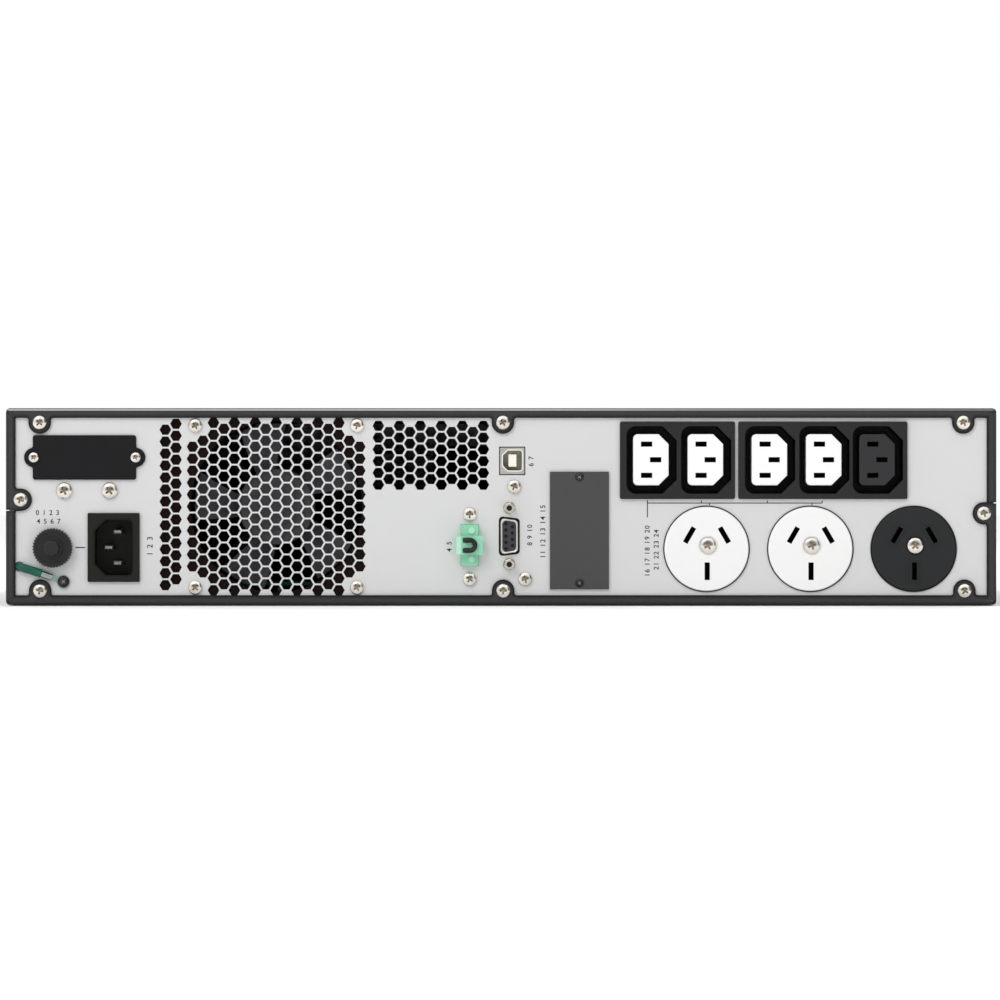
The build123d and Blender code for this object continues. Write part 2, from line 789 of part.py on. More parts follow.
def usb():
    """Square steel shell with a keyed mouth, and the tongue inside it."""
    face = y_panel - usb_face
    mouth_end = face + usb_depth - usb_back
    outer = Pos(usb_x, usb_z) * RectangleRounded(usb_width, usb_height, 0.5)
    mouth_x = usb_x + usb_mouth_offset[0]
    mouth_z = usb_z + usb_mouth_offset[1]
    mouth = keyed_outline(mouth_x, mouth_z, *usb_mouth_size, ("chamfer", 2.2), ("fillet", 0.9))
    shell = slab(outer, face, face + usb_depth) - slab(mouth, face - 1, mouth_end)
    tongue = Pos(mouth_x, mouth_z) * RectangleRounded(*usb_tongue_size, 0.3)
    return shell, slab(tongue, face + 1.0, mouth_end)


def serial():
    """Bright D shell, its insert with nine sockets, and the two jackscrews."""
    face = y_panel - serial_face
    flange_rear = y_inside + serial_flange_gap
    flange_front = flange_rear + serial_flange_thickness
    flange = Pos(serial_x, serial_z) * RectangleRounded(*serial_flange_size, 1.5)
    shell = slab(serial_outline(0), face, flange_front) + slab(flange, flange_rear, flange_front)
    shell = shell - slab(serial_outline(-serial_wall), face - 1, flange_front + 1)
    insert = slab(serial_outline(-serial_wall), face + serial_insert_recess, y_inside + board_setback)
    for step_x, count in serial_columns:
        for pin in range(count):
            z = serial_z + (pin - (count - 1) / 2) * serial_pin_pitch
            insert = insert - rod(serial_hole_radius, serial_x + step_x, z, face, face + serial_hole_depth)
    jackscrews = []
    jack_face = y_panel - jack_height
    jack_hole_radius = jack_shank_radius + screw_hole_gap
    for z in jack_heights():
        shell = shell - rod(jack_hole_radius, serial_x, z, flange_rear - 1, flange_front + 1)
        hex_outline = Pos(serial_x, z) * Rot(0, 0, 15) * hexagon(sqrt(3) * jack_radius)
        post = slab(hex_outline, jack_face, flange_rear)
        post = chamfer(edges_at(post, jack_face), 0.4)
        post = post + rod(jack_shank_radius, serial_x, z, flange_rear, flange_rear + jack_shank_length)
        jackscrews.append(post - rod(jack_tapping_radius, serial_x, z, jack_face - 1, y_panel - 0.5))
    return shell, insert, jackscrews


def epo():
    """Fixed header in the panel, the plug that pulls off it, and the wire jumper in the plug."""
    x = epo_x + epo_header_offset
    header_face = y_panel - epo_header_front
    plug_face = y_panel - epo_plug_front
    plug_rear = header_face - epo_plug_gap
    header_outline = Pos(x, epo_z) * RectangleRounded(epo_flange_width, epo_flange_height, 0.5)
    header = slab(header_outline, header_face, y_inside + board_setback - 1)
    socket_width = epo_flange_width - 2 * epo_header_wall
    socket_height = epo_plug_height - 2 * epo_socket_inset
    header = header - bar(x, epo_z, socket_width, socket_height, header_face - 1, y_inside + 4)
    for side in (-1, 1):
        pip_z = epo_z + side * epo_pip_offset
        header = header + rod(epo_pip_radius, x + epo_pip_step, pip_z, header_face - 0.4, header_face)
    body_outline = Pos(epo_x, epo_z) * RectangleRounded(epo_plug_width, epo_plug_height, 0.4)
    plug = slab(body_outline, plug_face, plug_rear)
    tongue_width = socket_width - 2 * epo_tongue_gap
    tongue_height = socket_height - 2 * epo_tongue_gap
    plug = plug + bar(x, epo_z, tongue_width, tongue_height, plug_rear, y_inside + 3)

    wire_x = epo_x - jumper_left_reach
    bend_x = epo_x + jumper_right_reach
    wire_y = plug_face - jumper_radius - 0.05
    root_y = plug_face + jumper_root
    path = FilletPolyline(
        (wire_x, root_y, epo_z + jumper_half_gap),
        (wire_x, wire_y, epo_z + jumper_half_gap),
        (bend_x, wire_y, epo_z + jumper_half_gap),
        (bend_x, wire_y, epo_z - jumper_half_gap),
        (wire_x, wire_y, epo_z - jumper_half_gap),
        (wire_x, root_y, epo_z - jumper_half_gap),
        radius=[jumper_root_bend, jumper_half_gap - 0.05, jumper_half_gap - 0.05, jumper_root_bend],
    )
    jumper = sweep(Plane(path @ 0, z_dir=path % 0) * Circle(jumper_radius), path=path)
    room = jumper_radius + 0.1
    relief_x = (wire_x - room, wire_x + jumper_root_bend + 0.4)
    for side in (-1, 1):
        z = epo_z + side * jumper_half_gap
        plug = plug - rod(jumper_radius + screw_hole_gap, wire_x, z, plug_face - 1, root_y)
        plug = plug - block(*relief_x, plug_face - 1, plug_face + 0.6, z - room, z + room)
    return header, plug, jumper


def comm_board():
    """Circuit board that carries the sockets, stepped round the upper grille."""
    rear = y_inside + board_setback
    front = rear + board_thickness
    lower = block(*comm_board_x, rear, front, comm_board_z[0], comm_board_z[1])
    upper = block(comm_board_step_x, comm_board_x[1], rear, front, comm_board_z[1], comm_board_z[2])
    board = lower + upper
    board = board - bar(usb_x, usb_z, usb_width + 1.1, usb_height + 1.1, rear - 1, front + 1)
    return board - [rod(1.6, x, z, rear - 1, front + 1) for x, z in board_screw_places]


# ---------------------------------------------------------------- card slot
def card_slot():
    """Cover plate, its screws, and the sheet cage behind it."""
    plate = Pos(slot_x, slot_z) * Rectangle(slot_width, slot_height)
    plate = plate - [Pos(slot_x, z) * Circle(dark_pan[2] + screw_hole_gap) for z in slot_screw_z]
    cover = slab(plate, y_panel - slot_cover_thickness, y_panel)
    screws = [pan_screw(slot_x, z, y_panel - slot_cover_thickness, dark_pan) for z in slot_screw_z]
    cage_width = slot_width - 2 * cage_side_inset
    cage_height = slot_height - 2 * cage_end_inset
    cage_front = bay_rear - 4
    cage = bar(slot_x, slot_z, cage_width, cage_height, y_inside, cage_front)
    space_width = cage_width - 2 * cage_wall
    space_height = cage_height - 2 * cage_wall
    space = bar(slot_x, slot_z, space_width, space_height, y_inside - 1, cage_front - cage_wall)
    return cover, screws, cage - space


# ---------------------------------------------------------------- outlets
def well_outline(x):
    """Keyed opening round one outlet's insert."""
    return keyed_outline(
        x + 0.3, outlet_z - 0.1, outlet_well_width, outlet_well_height, ("fillet", 4.2), ("chamfer", 6.2)
    )


def outlet_block(x_low, x_high, centres):
    """Housing of a row of outlets, one well for each."""
    face = y_panel - block_face
    flange = rectangle_between(x_low, x_high, block_low_z, block_high_z, 0.8)
    body = rectangle_between(
        x_low + block_flange_step,
        x_high - block_flange_step,
        block_low_z + block_flange_step,
        block_high_z - block_flange_step,
    )
    housing = slab(flange, face, y_panel) + slab(body, y_panel, y_inside + block_depth)
    housing = fillet(edges_at(housing, face), 0.4)
    return housing - [slab(well_outline(x), face - 1, face + outlet_well_depth) for x in centres]


def outlet_insert(x):
    """Slotted insert that stands in an outlet's well."""
    face = y_panel - block_face + insert_recess
    root = y_panel - block_face + outlet_well_depth
    outline = keyed_outline(x, outlet_z, insert_width, insert_height, ("fillet", 2.0), ("chamfer", 4.4))
    insert = slab(outline, face, root)
    insert = fillet(edges_at(insert, face), 0.35)
    for step_x, step_z in insert_slot_places:
        insert = insert - bar(x + step_x, outlet_z + step_z, *insert_slot_size, face - 1, root - insert_floor)
    return insert


def outlet_contacts():
    """Forked spring contact at the bottom of every slot."""
    root = y_panel - block_face + outlet_well_depth - insert_floor
    contacts = []
    for _, _, centres in outlet_blocks.values():
        for x in centres:
            for step_x, step_z in insert_slot_places:
                place = Pos(x + step_x, outlet_z + step_z)
                solid = place * Rectangle(*contact_size)
                fork = solid - place * Rectangle(contact_size[0] + 1, contact_fork_gap)
                contacts.append(slab(fork, root - contact_length, root - 1) + slab(solid, root - 1, root))
    return contacts


def round_outlet(x, rims):
    """Round outlet with three slots, its flange behind the panel, and raised slot rims if asked."""
    face = y_panel - round_face
    outlet = rod(round_radius, x, round_z, face, y_inside)
    outlet = fillet(edges_at(outlet, face), 0.6)
    outlet = outlet + rod(round_flange_radius, x, round_z, y_inside, y_inside + round_depth)
    places = [Pos(x + step_x, round_z + step_z) * Rot(0, 0, turn) for step_x, step_z, turn in round_slots]
    if rims:
        rim = RectangleRounded(round_slot_length + 2 * round_rim, round_slot_width + 2 * round_rim, 0.7)
        for place in places:
            outlet = outlet + slab(place * rim, face - 0.5, face)
    for place in places:
        slot = place * Rectangle(round_slot_length, round_slot_width)
        outlet = outlet - slab(slot, face - 1, face + round_slot_depth)
    screw_x = x + round_screw_offset[0]
    screw_z = round_z + round_screw_offset[1]
    shank_end = face + round_sink_depth + outlet_pan[3] + 0.2
    outlet = outlet - rod(round_sink_radius, screw_x, screw_z, face - 1, face + round_sink_depth)
    return outlet - rod(outlet_pan[2] + screw_hole_gap, screw_x, screw_z, face, shank_end)


def round_outlet_screws():
    """Centre screw of every round outlet, seated in its sink."""
    step_x, step_z = round_screw_offset
    seat = y_panel - round_face + round_sink_depth
    return [pan_screw(x + step_x, round_z + step_z, seat, outlet_pan) for x in round_outlets.values()]


# ---------------------------------------------------------------- earth lead
def earth_bond():
    """Green lead from inside the case to a ring lug on the panel, its two lugs and the screw."""
    hole_x, hole_z = earth_hole
    barrel_x, barrel_z = earth_barrel
    screw_x, screw_z = earth_screw_place
    lead_y = y_panel - earth_lead_radius - 0.05
    inner_y = y_inside + earth_inner_length
    path = FilletPolyline(
        (hole_x, inner_y, hole_z),
        (hole_x, lead_y, hole_z),
        (barrel_x, lead_y, barrel_z),
        radius=[earth_bend_radius],
    )
    lead = sweep(Plane(path @ 0, z_dir=path % 0) * Circle(earth_lead_radius), path=path)

    reach = Vector(screw_x - barrel_x, 0, screw_z - barrel_z)
    along = reach.normalized()
    barrel_plane = Plane(Vector(barrel_x, lead_y, barrel_z) + along * 0.2, z_dir=along)
    barrel = extrude(barrel_plane * Circle(earth_barrel_radius), amount=earth_barrel_length)
    ring_rear = y_panel - earth_ring_thickness
    neck_start = along * (earth_barrel_length - 1)
    neck_centre = Pos((barrel_x + neck_start.X + screw_x) / 2, (barrel_z + neck_start.Z + screw_z) / 2)
    neck_turn = Rot(0, 0, Vector(1, 0, 0).get_signed_angle(Vector(along.X, along.Z, 0), Vector(0, 0, 1)))
    neck = Rectangle(reach.length - earth_barrel_length + 1, earth_neck_width)
    ring = rod(earth_ring_radius, screw_x, screw_z, ring_rear, y_panel)
    ring = ring + slab(neck_centre * neck_turn * neck, ring_rear, y_panel)
    ring = ring - rod(earth_pan[2] + screw_hole_gap, screw_x, screw_z, ring_rear - 1, y_panel + 1)

    wall_x = -width / 2 + sheet
    tab_rear = inner_y + 2
    inner_lug = rod(earth_inner_radius, hole_x, hole_z, inner_y, inner_y + earth_inner_barrel)
    inner_lug = inner_lug + block(wall_x, wall_x + 1, tab_rear, tab_rear + 14, hole_z - 3, hole_z + 3)
    inner_lug = inner_lug + block(wall_x, hole_x, tab_rear, tab_rear + 5, hole_z - 1.5, hole_z + 1.5)
    return lead, [ring + barrel, inner_lug], pan_screw(screw_x, screw_z, ring_rear, earth_pan)


# ---------------------------------------------------------------- inside the power section
def power_board():
    return block(board_left, board_right, board_rear, board_front, board_z, board_top)


def clinch_fittings():
    """Pressed-in nuts for the rack ears and standoffs for the power board."""
    wall = width / 2 - sheet
    fittings = []
    for side, y, z in ear_axes():
        collar = side_bar(side, y, z, ear_nut_radius, wall - ear_nut_depth, wall)
        fittings.append(collar - side_bar(side, y, z, ear_hole_radius, wall - ear_nut_depth - 1, wall + 1))
    for x in (board_left + standoff_inset, (board_left + board_right) / 2, board_right - standoff_inset):
        for y in (board_rear + standoff_inset, board_front - standoff_inset):
            fittings.append(Pos(x, y, (sheet + board_z) / 2) * Cylinder(standoff_radius, board_z - sheet))
    return fittings


def heat_sinks():
    """Two finned extrusions standing in the air stream."""
    sinks = []
    for base_x, side in sink_places:
        fin_root = base_x + side * sink_base
        x_low, x_high = sorted((base_x, fin_root))
        sink = block(x_low, x_high, *sink_y, board_top, board_top + sink_height)
        fin_low, fin_high = sorted((fin_root, fin_root + side * sink_fin_length))
        for fin in range(sink_fins):
            z = board_top + sink_first_fin + fin * sink_fin_pitch
            sink = sink + block(fin_low, fin_high, *sink_y, z, z + sink_fin_thickness)
        sinks.append(sink)
    return sinks


def capacitors():
    """Four tall cans with a rounded top edge."""
    cans = []
    for x in capacitor_x:
        for y in capacitor_y:
            can = Pos(x, y, board_top + capacitor_height / 2) * Cylinder(capacitor_radius, capacitor_height)
            cans.append(fillet(can.edges().sort_by(Axis.Z)[-1], 2))
    return cans


def transformer():
    """Wound core: a closed core frame and the coil round its middle limb."""
    x_low, x_high = core_x
    y_low, y_high = core_y
    low = board_top
    window_low = low + core_limb
    window_high = low + core_height - core_limb
    middle = (x_low + x_high) / 2
    core = block(x_low, x_high, y_low, y_high, low, low + core_height)
    for side in (-1, 1):
        window_x = sorted((middle + side * core_middle_limb / 2, middle + side * core_window_reach))
        core = core - block(*window_x, y_low - 1, y_high + 1, window_low, window_high)
    coil_reach = core_window_reach - 1
    coil_y = (y_low - coil_overhang, y_high + coil_overhang)
    coil = block(middle - coil_reach, middle + coil_reach, *coil_y, window_low + 1, window_high - 1)
    limb_x = (middle - core_middle_limb / 2, middle + core_middle_limb / 2)
    return [core, coil - block(*limb_x, y_low, y_high, window_low, window_high)]


def inductors():
    """Wound rings lying flat on the board."""
    ring = Cylinder(inductor_radius, inductor_height) - Cylinder(inductor_bore, inductor_height + 1)
    ring = fillet(ring.edges().filter_by(GeomType.CIRCLE), 3)
    return [Pos(x, y, board_top + inductor_height / 2) * ring for x, y in inductor_places]


# ---------------------------------------------------------------- battery bay
def bay_divider():
    """Folded sheet that walls the battery bay off from the power section and the card cage."""
    wall_top = height - sheet - panel_gap
    inner = width / 2 - 2 * sheet - panel_gap
    wall_left = bay_left - 2 * sheet
    side_wall = block(wall_left, wall_left + sheet, bay_rear, y_front - sheet, sheet, wall_top)
    rear_wall = block(wall_left, inner, bay_rear, bay_rear + sheet, sheet, wall_top)
    return side_wall + rear_wall


def battery_connector():
    """Fixed socket on the bay's rear wall, and the plug on the battery pack."""
    low = tray_floor + sheet + battery_height + 0.3
    high = bay_top - 0.6
    socket_rear = bay_rear + sheet
    face = socket_rear + connector_depth
    half = connector_width / 2
    socket = block(socket_x - half, socket_x + half, socket_rear, face, low + 0.4, high)
    plug = block(socket_x - half, socket_x + half, face + 0.5, face + connector_depth, low, high)
    middle = (low + high) / 2 + 0.2
    for side in (-1, 1):
        x = socket_x + side * contact_spacing / 2
        socket = socket - bar(x, middle, 6.8, 2.4, face - 12, face + 1)
        plug = plug + bar(x, middle, 6.0, 1.6, face - 10, face + 1)
    return socket, plug


def battery_tray():
    """Open tray with side walls, a low front wall and a pull hole in it."""
    floor_top = tray_floor + sheet
    tray = block(tray_left, tray_right, tray_rear, tray_front, tray_floor, floor_top)
    for wall_x in (tray_left, tray_right - sheet):
        tray = tray + block(wall_x, wall_x + sheet, tray_rear, tray_front, floor_top, tray_wall_top)
    front_wall = block(tray_left, tray_right, tray_front - sheet, tray_front, floor_top, tray_wall_top)
    pull = Pos(socket_x, pull_hole_z) * RectangleRounded(*pull_hole_size, 5)
    return tray + (front_wall - slab(pull, tray_front - 2 * sheet, tray_front + 1))


def battery_blocks():
    """Four sealed batteries, two wide and two deep."""
    low = tray_floor + sheet
    middle = (tray_left + tray_right) / 2
    blocks = []
    for side in (-1, 1):
        inner = battery_gap / 2
        x_low, x_high = sorted((middle + side * inner, middle + side * (inner + battery_width)))
        for row in range(2):
            y_low = tray_rear + 0.5 + row * (battery_length + battery_gap)
            body = block(x_low, x_high, y_low, y_low + battery_length - 0.5, low, low + battery_height)
            blocks.append(fillet(body.edges().filter_by(Axis.Y), 1.5))
    return blocks


def battery_door():
    """Steel door over the bay, with holes for the access panel's posts, and its thumb screws."""
    outline = rectangle_between(
        bay_left - door_lap, bay_right + door_lap, bezel_wall + door_lap, height - bezel_wall - door_lap, 2
    )
    outline = outline - [Pos(x, post_z) * Circle(post_tip_radius + 0.9) for x in post_x]
    outline = outline - [Pos(x, post_z) * Circle(door_shank_radius + 0.1) for x in door_screw_x]
    door_face = y_front + sheet
    screws = []
    for x in door_screw_x:
        head = rod(door_head_radius, x, post_z - 0.5, door_face, door_face + door_head_height)
        screws.append(head + rod(door_shank_radius, x, post_z, y_front - 4, door_face))
    return slab(outline, y_front, door_face), screws


# ---------------------------------------------------------------- front panel and bezel
def vent_outlines(start_x, count):
    """Row of upright slots with round ends."""
    shape = RectangleRounded(vent_slot_width, vent_slot_height, vent_slot_width / 2 - 0.1)
    return [Pos(start_x + number * vent_slot_pitch, height / 2) * shape for number in range(count)]


def front_panel():
    """Steel front of the case, open over the battery bay."""
    edge_x = width / 2 - sheet - panel_gap
    outline = rectangle_between(-edge_x, edge_x, sheet + panel_gap, height - sheet - panel_gap)
    cuts = [rectangle_between(bay_left, bay_right, 0, bay_top)]
    cuts += vent_outlines(*left_vents) + vent_outlines(*middle_vents)
    cuts += [Pos(display_x, display_z) * Circle(display_shaft_bore)]
    cuts += [Pos(x, z) * Circle(post_tip_radius) for x, z in bezel_posts]
    cuts += [Pos(x, post_z) * Circle(post_tip_radius + 0.4) for x in post_x]
    cuts += [Pos(x, post_z) * Circle(door_shank_radius + 0.4) for x in door_screw_x]
    return slab(outline - cuts, y_front - sheet, y_front)


def bezel_shell(x_low, x_high, rear):
    """Hollow moulding open at the back, with its front edges rounded."""
    body = block(x_low, x_high, rear, bezel_face, 0, height)
    body = fillet(edges_at(body, bezel_face), bezel_edge_radius)
    inner_x = (x_low + bezel_wall, x_high - bezel_wall)
    return body - block(*inner_x, rear - 1, bezel_face - bezel_wall, bezel_wall, height - bezel_wall)


def front_bezel():
    """Fixed part of the bezel, with vents, the display's opening and pressed-in posts."""
    bezel = bezel_shell(-width / 2, bezel_split_x, y_front)
    cuts = vent_outlines(*left_vents) + vent_outlines(*middle_vents)
    cuts += [Pos(display_x, display_z) * Circle(display_radius + display_gap)]
    for cut in cuts:
        bezel = bezel - slab(cut, bezel_face - 2 * bezel_wall, bezel_face + 1)
    for x, z in bezel_posts:
        bezel = bezel + rod(post_radius, x, z, y_front, bezel_face - 1)
        bezel = bezel + rod(post_tip_radius, x, z, y_front - post_tip_length, y_front)
    return bezel


def battery_access_panel():
    """Pull-off part of the bezel over the batteries, with two longer posts."""
    panel = bezel_shell(bezel_split_x + panel_split_gap, width / 2, y_front + panel_gap)
    for cut in vent_outlines(*right_vents):
        panel = panel - slab(cut, bezel_face - 2 * bezel_wall, bezel_face + 1)
    post_rear = y_front + sheet + 0.4
    for x in post_x:
        panel = panel + rod(post_radius, x, post_z, post_rear, bezel_face - 1)
        panel = panel + rod(post_tip_radius, x, post_z, y_front - post_tip_length, post_rear)
    return panel


# ---------------------------------------------------------------- display
def button_place(number):
    """Centre of one key under the window."""
    return display_x + (number - (len(button_names) - 1) / 2) * button_pitch, display_z - button_drop


def display():
    """Round display housing on its shaft, and the window in its face."""
    face = bezel_face
    rear = face - display_depth
    housing = rod(display_radius, display_x, display_z, rear, face)
    housing = fillet(edges_at(housing, face), 1.0)
    housing = housing + rod(display_shaft_radius, display_x, display_z, y_front - 6, rear)
    window_outline = Pos(display_x, display_z + window_rise) * RectangleRounded(*window_size, 2)
    housing = housing - slab(window_outline, face - window_depth, face + 1)
    bore_end = face - button_bore_depth
    for number in range(len(button_names)):
        x, z = button_place(number)
        housing = housing - rod(button_radius + button_gap, x, z, bore_end, face + 1)
        housing = housing - rod(collar_radius + 0.4, x, z, bore_end, face - collar_depth)
    return housing, slab(window_outline, face - window_depth, face - 0.2)


def button(number):
    """Round key with a collar that keeps it in the housing."""
    x, z = button_place(number)
    collar_face = bezel_face - collar_depth - 0.05
    cap = rod(button_radius, x, z, collar_face, y_nose)
    cap = fillet(edges_at(cap, y_nose), 0.4)
    return cap + rod(collar_radius, x, z, collar_face - collar_thickness, collar_face)


# ---------------------------------------------------------------- write the nodes
def save_rear():
    """Nodes on the rear panel."""
    save("rear_panel", rear_panel())
    save("port_blank", port_blank())
    save("panel_screws", [pan_screw(*entry) for entry in panel_screw_list()])
    save_all(("breaker_body", "breaker_nut", "breaker_button"), breaker())
    save_all(("inlet_housing", "inlet_pins"), inlet())
    save_all(("fan_frame", "fan_rotor"), fan())
    save_all(("usb_shell", "usb_tongue"), usb())
    save_all(("serial_shell", "serial_insert", "serial_jackscrews"), serial())
    save_all(("epo_header", "epo_plug", "epo_jumper"), epo())
    save("comm_board", comm_board())
    save_all(("slot_cover", "slot_screws", "card_cage"), card_slot())
    save_all(("earth_lead", "earth_lugs", "earth_screw"), earth_bond())


def save_outlets():
    """Rectangular and round outlets, their contacts and their board."""
    inserts = []
    for name, (x_low, x_high, centres) in outlet_blocks.items():
        save(name, outlet_block(x_low, x_high, centres))
        inserts += [outlet_insert(x) for x in centres]
    save("black_outlet_insert", inserts.pop())
    save("white_outlet_inserts", inserts)
    save("outlet_contacts", outlet_contacts())
    rear = y_inside + block_depth
    save("outlet_board", block(*outlet_board_x, rear, rear + board_thickness, *outlet_board_z))
    for name, x in round_outlets.items():
        save(name, round_outlet(x, name.endswith("right")))
    save("round_outlet_screws", round_outlet_screws())


def save_inside():
    """Power section and battery bay."""
    save("power_board", power_board())
    save("clinch_fittings", clinch_fittings())
    save("heat_sinks", heat_sinks())
    save("capacitors", capacitors())
    save("transformer", transformer())
    save("inductors", inductors())
    save("bay_divider", bay_divider())
    save_all(("battery_socket", "battery_plug"), battery_connector())
    save("battery_tray", battery_tray())
    save("battery_blocks", battery_blocks())
    save_all(("battery_door", "door_screws"), battery_door())


def save_front():
    """Front panel, bezel, display and keys."""
    save("front_panel", front_panel())
    save("front_bezel", front_bezel())
    save("battery_access_panel", battery_access_panel())
    save_all(("display_housing", "display_window"), display())
    for number, name in enumerate(button_names):
        save(name, button(number))


os.makedirs("parts", exist_ok=True)
save_all(("base_chassis", "top_cover"), case_halves())
save("cover_screws", cover_screws())
save_rear()
save_outlets()
save_inside()
save_front()
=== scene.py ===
import json
import math
import random

import bmesh
import bpy
from mathutils import Matrix, Vector


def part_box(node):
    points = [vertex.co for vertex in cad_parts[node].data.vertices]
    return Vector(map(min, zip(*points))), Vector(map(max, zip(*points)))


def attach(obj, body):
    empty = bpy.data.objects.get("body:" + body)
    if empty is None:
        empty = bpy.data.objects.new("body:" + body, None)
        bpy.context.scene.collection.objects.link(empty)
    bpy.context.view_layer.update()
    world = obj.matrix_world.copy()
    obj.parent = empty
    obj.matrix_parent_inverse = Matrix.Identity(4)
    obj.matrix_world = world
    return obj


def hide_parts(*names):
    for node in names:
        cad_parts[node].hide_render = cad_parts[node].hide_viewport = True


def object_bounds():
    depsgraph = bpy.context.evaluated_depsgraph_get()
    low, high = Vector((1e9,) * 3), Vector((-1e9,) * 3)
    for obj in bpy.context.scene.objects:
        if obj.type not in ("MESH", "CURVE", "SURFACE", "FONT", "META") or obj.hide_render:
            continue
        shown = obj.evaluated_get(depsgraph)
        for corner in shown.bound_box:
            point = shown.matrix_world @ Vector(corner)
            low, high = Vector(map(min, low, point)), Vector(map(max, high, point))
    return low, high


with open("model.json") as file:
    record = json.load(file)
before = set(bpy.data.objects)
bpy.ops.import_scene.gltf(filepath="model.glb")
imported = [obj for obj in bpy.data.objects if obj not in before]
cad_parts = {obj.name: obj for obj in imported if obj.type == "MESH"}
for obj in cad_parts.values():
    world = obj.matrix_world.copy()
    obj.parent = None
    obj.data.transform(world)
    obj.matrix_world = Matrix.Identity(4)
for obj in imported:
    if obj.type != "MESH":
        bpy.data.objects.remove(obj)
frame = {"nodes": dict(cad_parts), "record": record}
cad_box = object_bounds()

nodes = frame["nodes"]
record = frame["record"]
MM = 0.001
HAIR = 0.02 * MM            # how far printed marks stand proud
CLEARANCE = 0.02 * MM       # room between a fitted piece and what it goes round
WELD = 0.001 * MM           # mesh points closer than this are one point
WHITE = (1, 1, 1, 1)
panel_rear, panel_inner = (corner.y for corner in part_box("rear_panel"))
lip_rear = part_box("top_cover")[0].y
lip_width = 3.75 * MM

# outlets: steps from each outlet's centre in mm, and the turn of each angled slot in degrees
round_outlets = ("round_outlet_left", "round_outlet_middle", "round_outlet_right")
round_face_radius = 18.7 * MM
flat_slots = ((-1.9, 6.9), (-1.9, -6.9), (2.1, 0))
flat_slot_length = 5 * MM
angled_slots = ((-7.5, 6.1, 60), (7.9, 6.1, -60), (0.3, -9.9, 90))
angled_slot_length = 7.8 * MM
slot_width = 2.3 * MM

# nine-way connector: each column's step from the middle in mm and its number of sockets
serial_columns = ((-1.5, 5), (1.4, 4))
serial_pitch = 2.77 * MM


# ---------------------------------------------------------------- node helpers for materials
class NodeTree:
    """Adds and links nodes in the tree of a material or of the world."""

    def __init__(self, owner):
        owner.use_nodes = True
        self.tree = owner.node_tree

    def add(self, kind, **settings):
        node = self.tree.nodes.new(kind)
        for key, value in settings.items():
            setattr(node, key, value)
        return node

    def link(self, source, target):
        self.tree.links.new(source, target)

    def remap(self, value, low, high, out_low, out_high, smooth=False):
        node = self.add("ShaderNodeMapRange", interpolation_type="SMOOTHSTEP" if smooth else "LINEAR")
        limits = {"From Min": low, "From Max": high, "To Min": out_low, "To Max": out_high}
        for name, number in limits.items():
            node.inputs[name].default_value = number
        self.link(value, node.inputs["Value"])
        return node.outputs["Result"]

    def math(self, operation, *values):
        node = self.add("ShaderNodeMath", operation=operation)
        for number, value in enumerate(values):
            if isinstance(value, (int, float)):
                node.inputs[number].default_value = value
            else:
                self.link(value, node.inputs[number])
        return node.outputs["Value"]


class Shader(NodeTree):
    """A node material built step by step. Object coordinates are in metres, so scales are per metre."""

    def __init__(self, name):
        self.material = bpy.data.materials.new(name)
        super().__init__(self.material)
        self.surface = self.tree.nodes["Principled BSDF"]
        self.place = self.add("ShaderNodeTexCoord").outputs["Object"]

    def noise(self, scale, detail=3.0, roughness=0.55, stretch=None):
        node = self.add("ShaderNodeTexNoise")
        node.inputs["Scale"].default_value = scale
        node.inputs["Detail"].default_value = detail
        node.inputs["Roughness"].default_value = roughness
        source = self.place
        if stretch:
            mapping = self.add("ShaderNodeMapping")
            mapping.inputs["Scale"].default_value = stretch
            self.link(self.place, mapping.inputs["Vector"])
            source = mapping.outputs["Vector"]
        self.link(source, node.inputs["Vector"])
        return node.outputs["Fac"]

    def cells(self, scale):
        node = self.add("ShaderNodeTexVoronoi")
        node.inputs["Scale"].default_value = scale
        self.link(self.place, node.inputs["Vector"])
        return node.outputs["Distance"]

    def blend(self, factor, first, second):
        """Mixes two colours, each a tuple or a socket."""
        node = self.add("ShaderNodeMix", data_type="RGBA")
        self.link(factor, node.inputs["Factor"])
        for socket, value in ((node.inputs[6], first), (node.inputs[7], second)):
            if isinstance(value, tuple):
                socket.default_value = (*value, 1)
            else:
                self.link(value, socket)
        return node.outputs[2]

    def edge(self, radius, low=0.04, high=0.30):
        """1 along convex and concave edges within the radius, 0 on flats."""
        bevel = self.add("ShaderNodeBevel", samples=4)
        bevel.inputs["Radius"].default_value = radius
        geometry = self.add("ShaderNodeNewGeometry")
        dot = self.add("ShaderNodeVectorMath", operation="DOT_PRODUCT")
        self.link(bevel.outputs["Normal"], dot.inputs[0])
        self.link(geometry.outputs["Normal"], dot.inputs[1])
        turned = self.math("SUBTRACT", 1.0, dot.outputs["Value"])
        return self.remap(turned, low, high, 0.0, 1.0)

    def along(self, axis, low, high, out_low=0.0, out_high=1.0):
        """Ramp along one object axis."""
        axes = self.add("ShaderNodeSeparateXYZ")
        self.link(self.place, axes.inputs["Vector"])
        return self.remap(axes.outputs[axis], low, high, out_low, out_high)

    def colour(self, value):
        self.link(value, self.surface.inputs["Base Color"])

    def roughness(self, value):
        self.link(value, self.surface.inputs["Roughness"])

    def bump(self, *heights):
        """Stacks bumps given as (height socket, distance in metres, strength)."""
        normal = None
        for height, distance, strength in heights:
            node = self.add("ShaderNodeBump")
            node.inputs["Distance"].default_value = distance
            node.inputs["Strength"].default_value = strength
            self.link(height, node.inputs["Height"])
            if normal:
                self.link(normal, node.inputs["Normal"])
            normal = node.outputs["Normal"]
        self.link(normal, self.surface.inputs["Normal"])

    def set(self, **values):
        for name, value in values.items():
            self.surface.inputs[name.replace("_", " ")].default_value = value


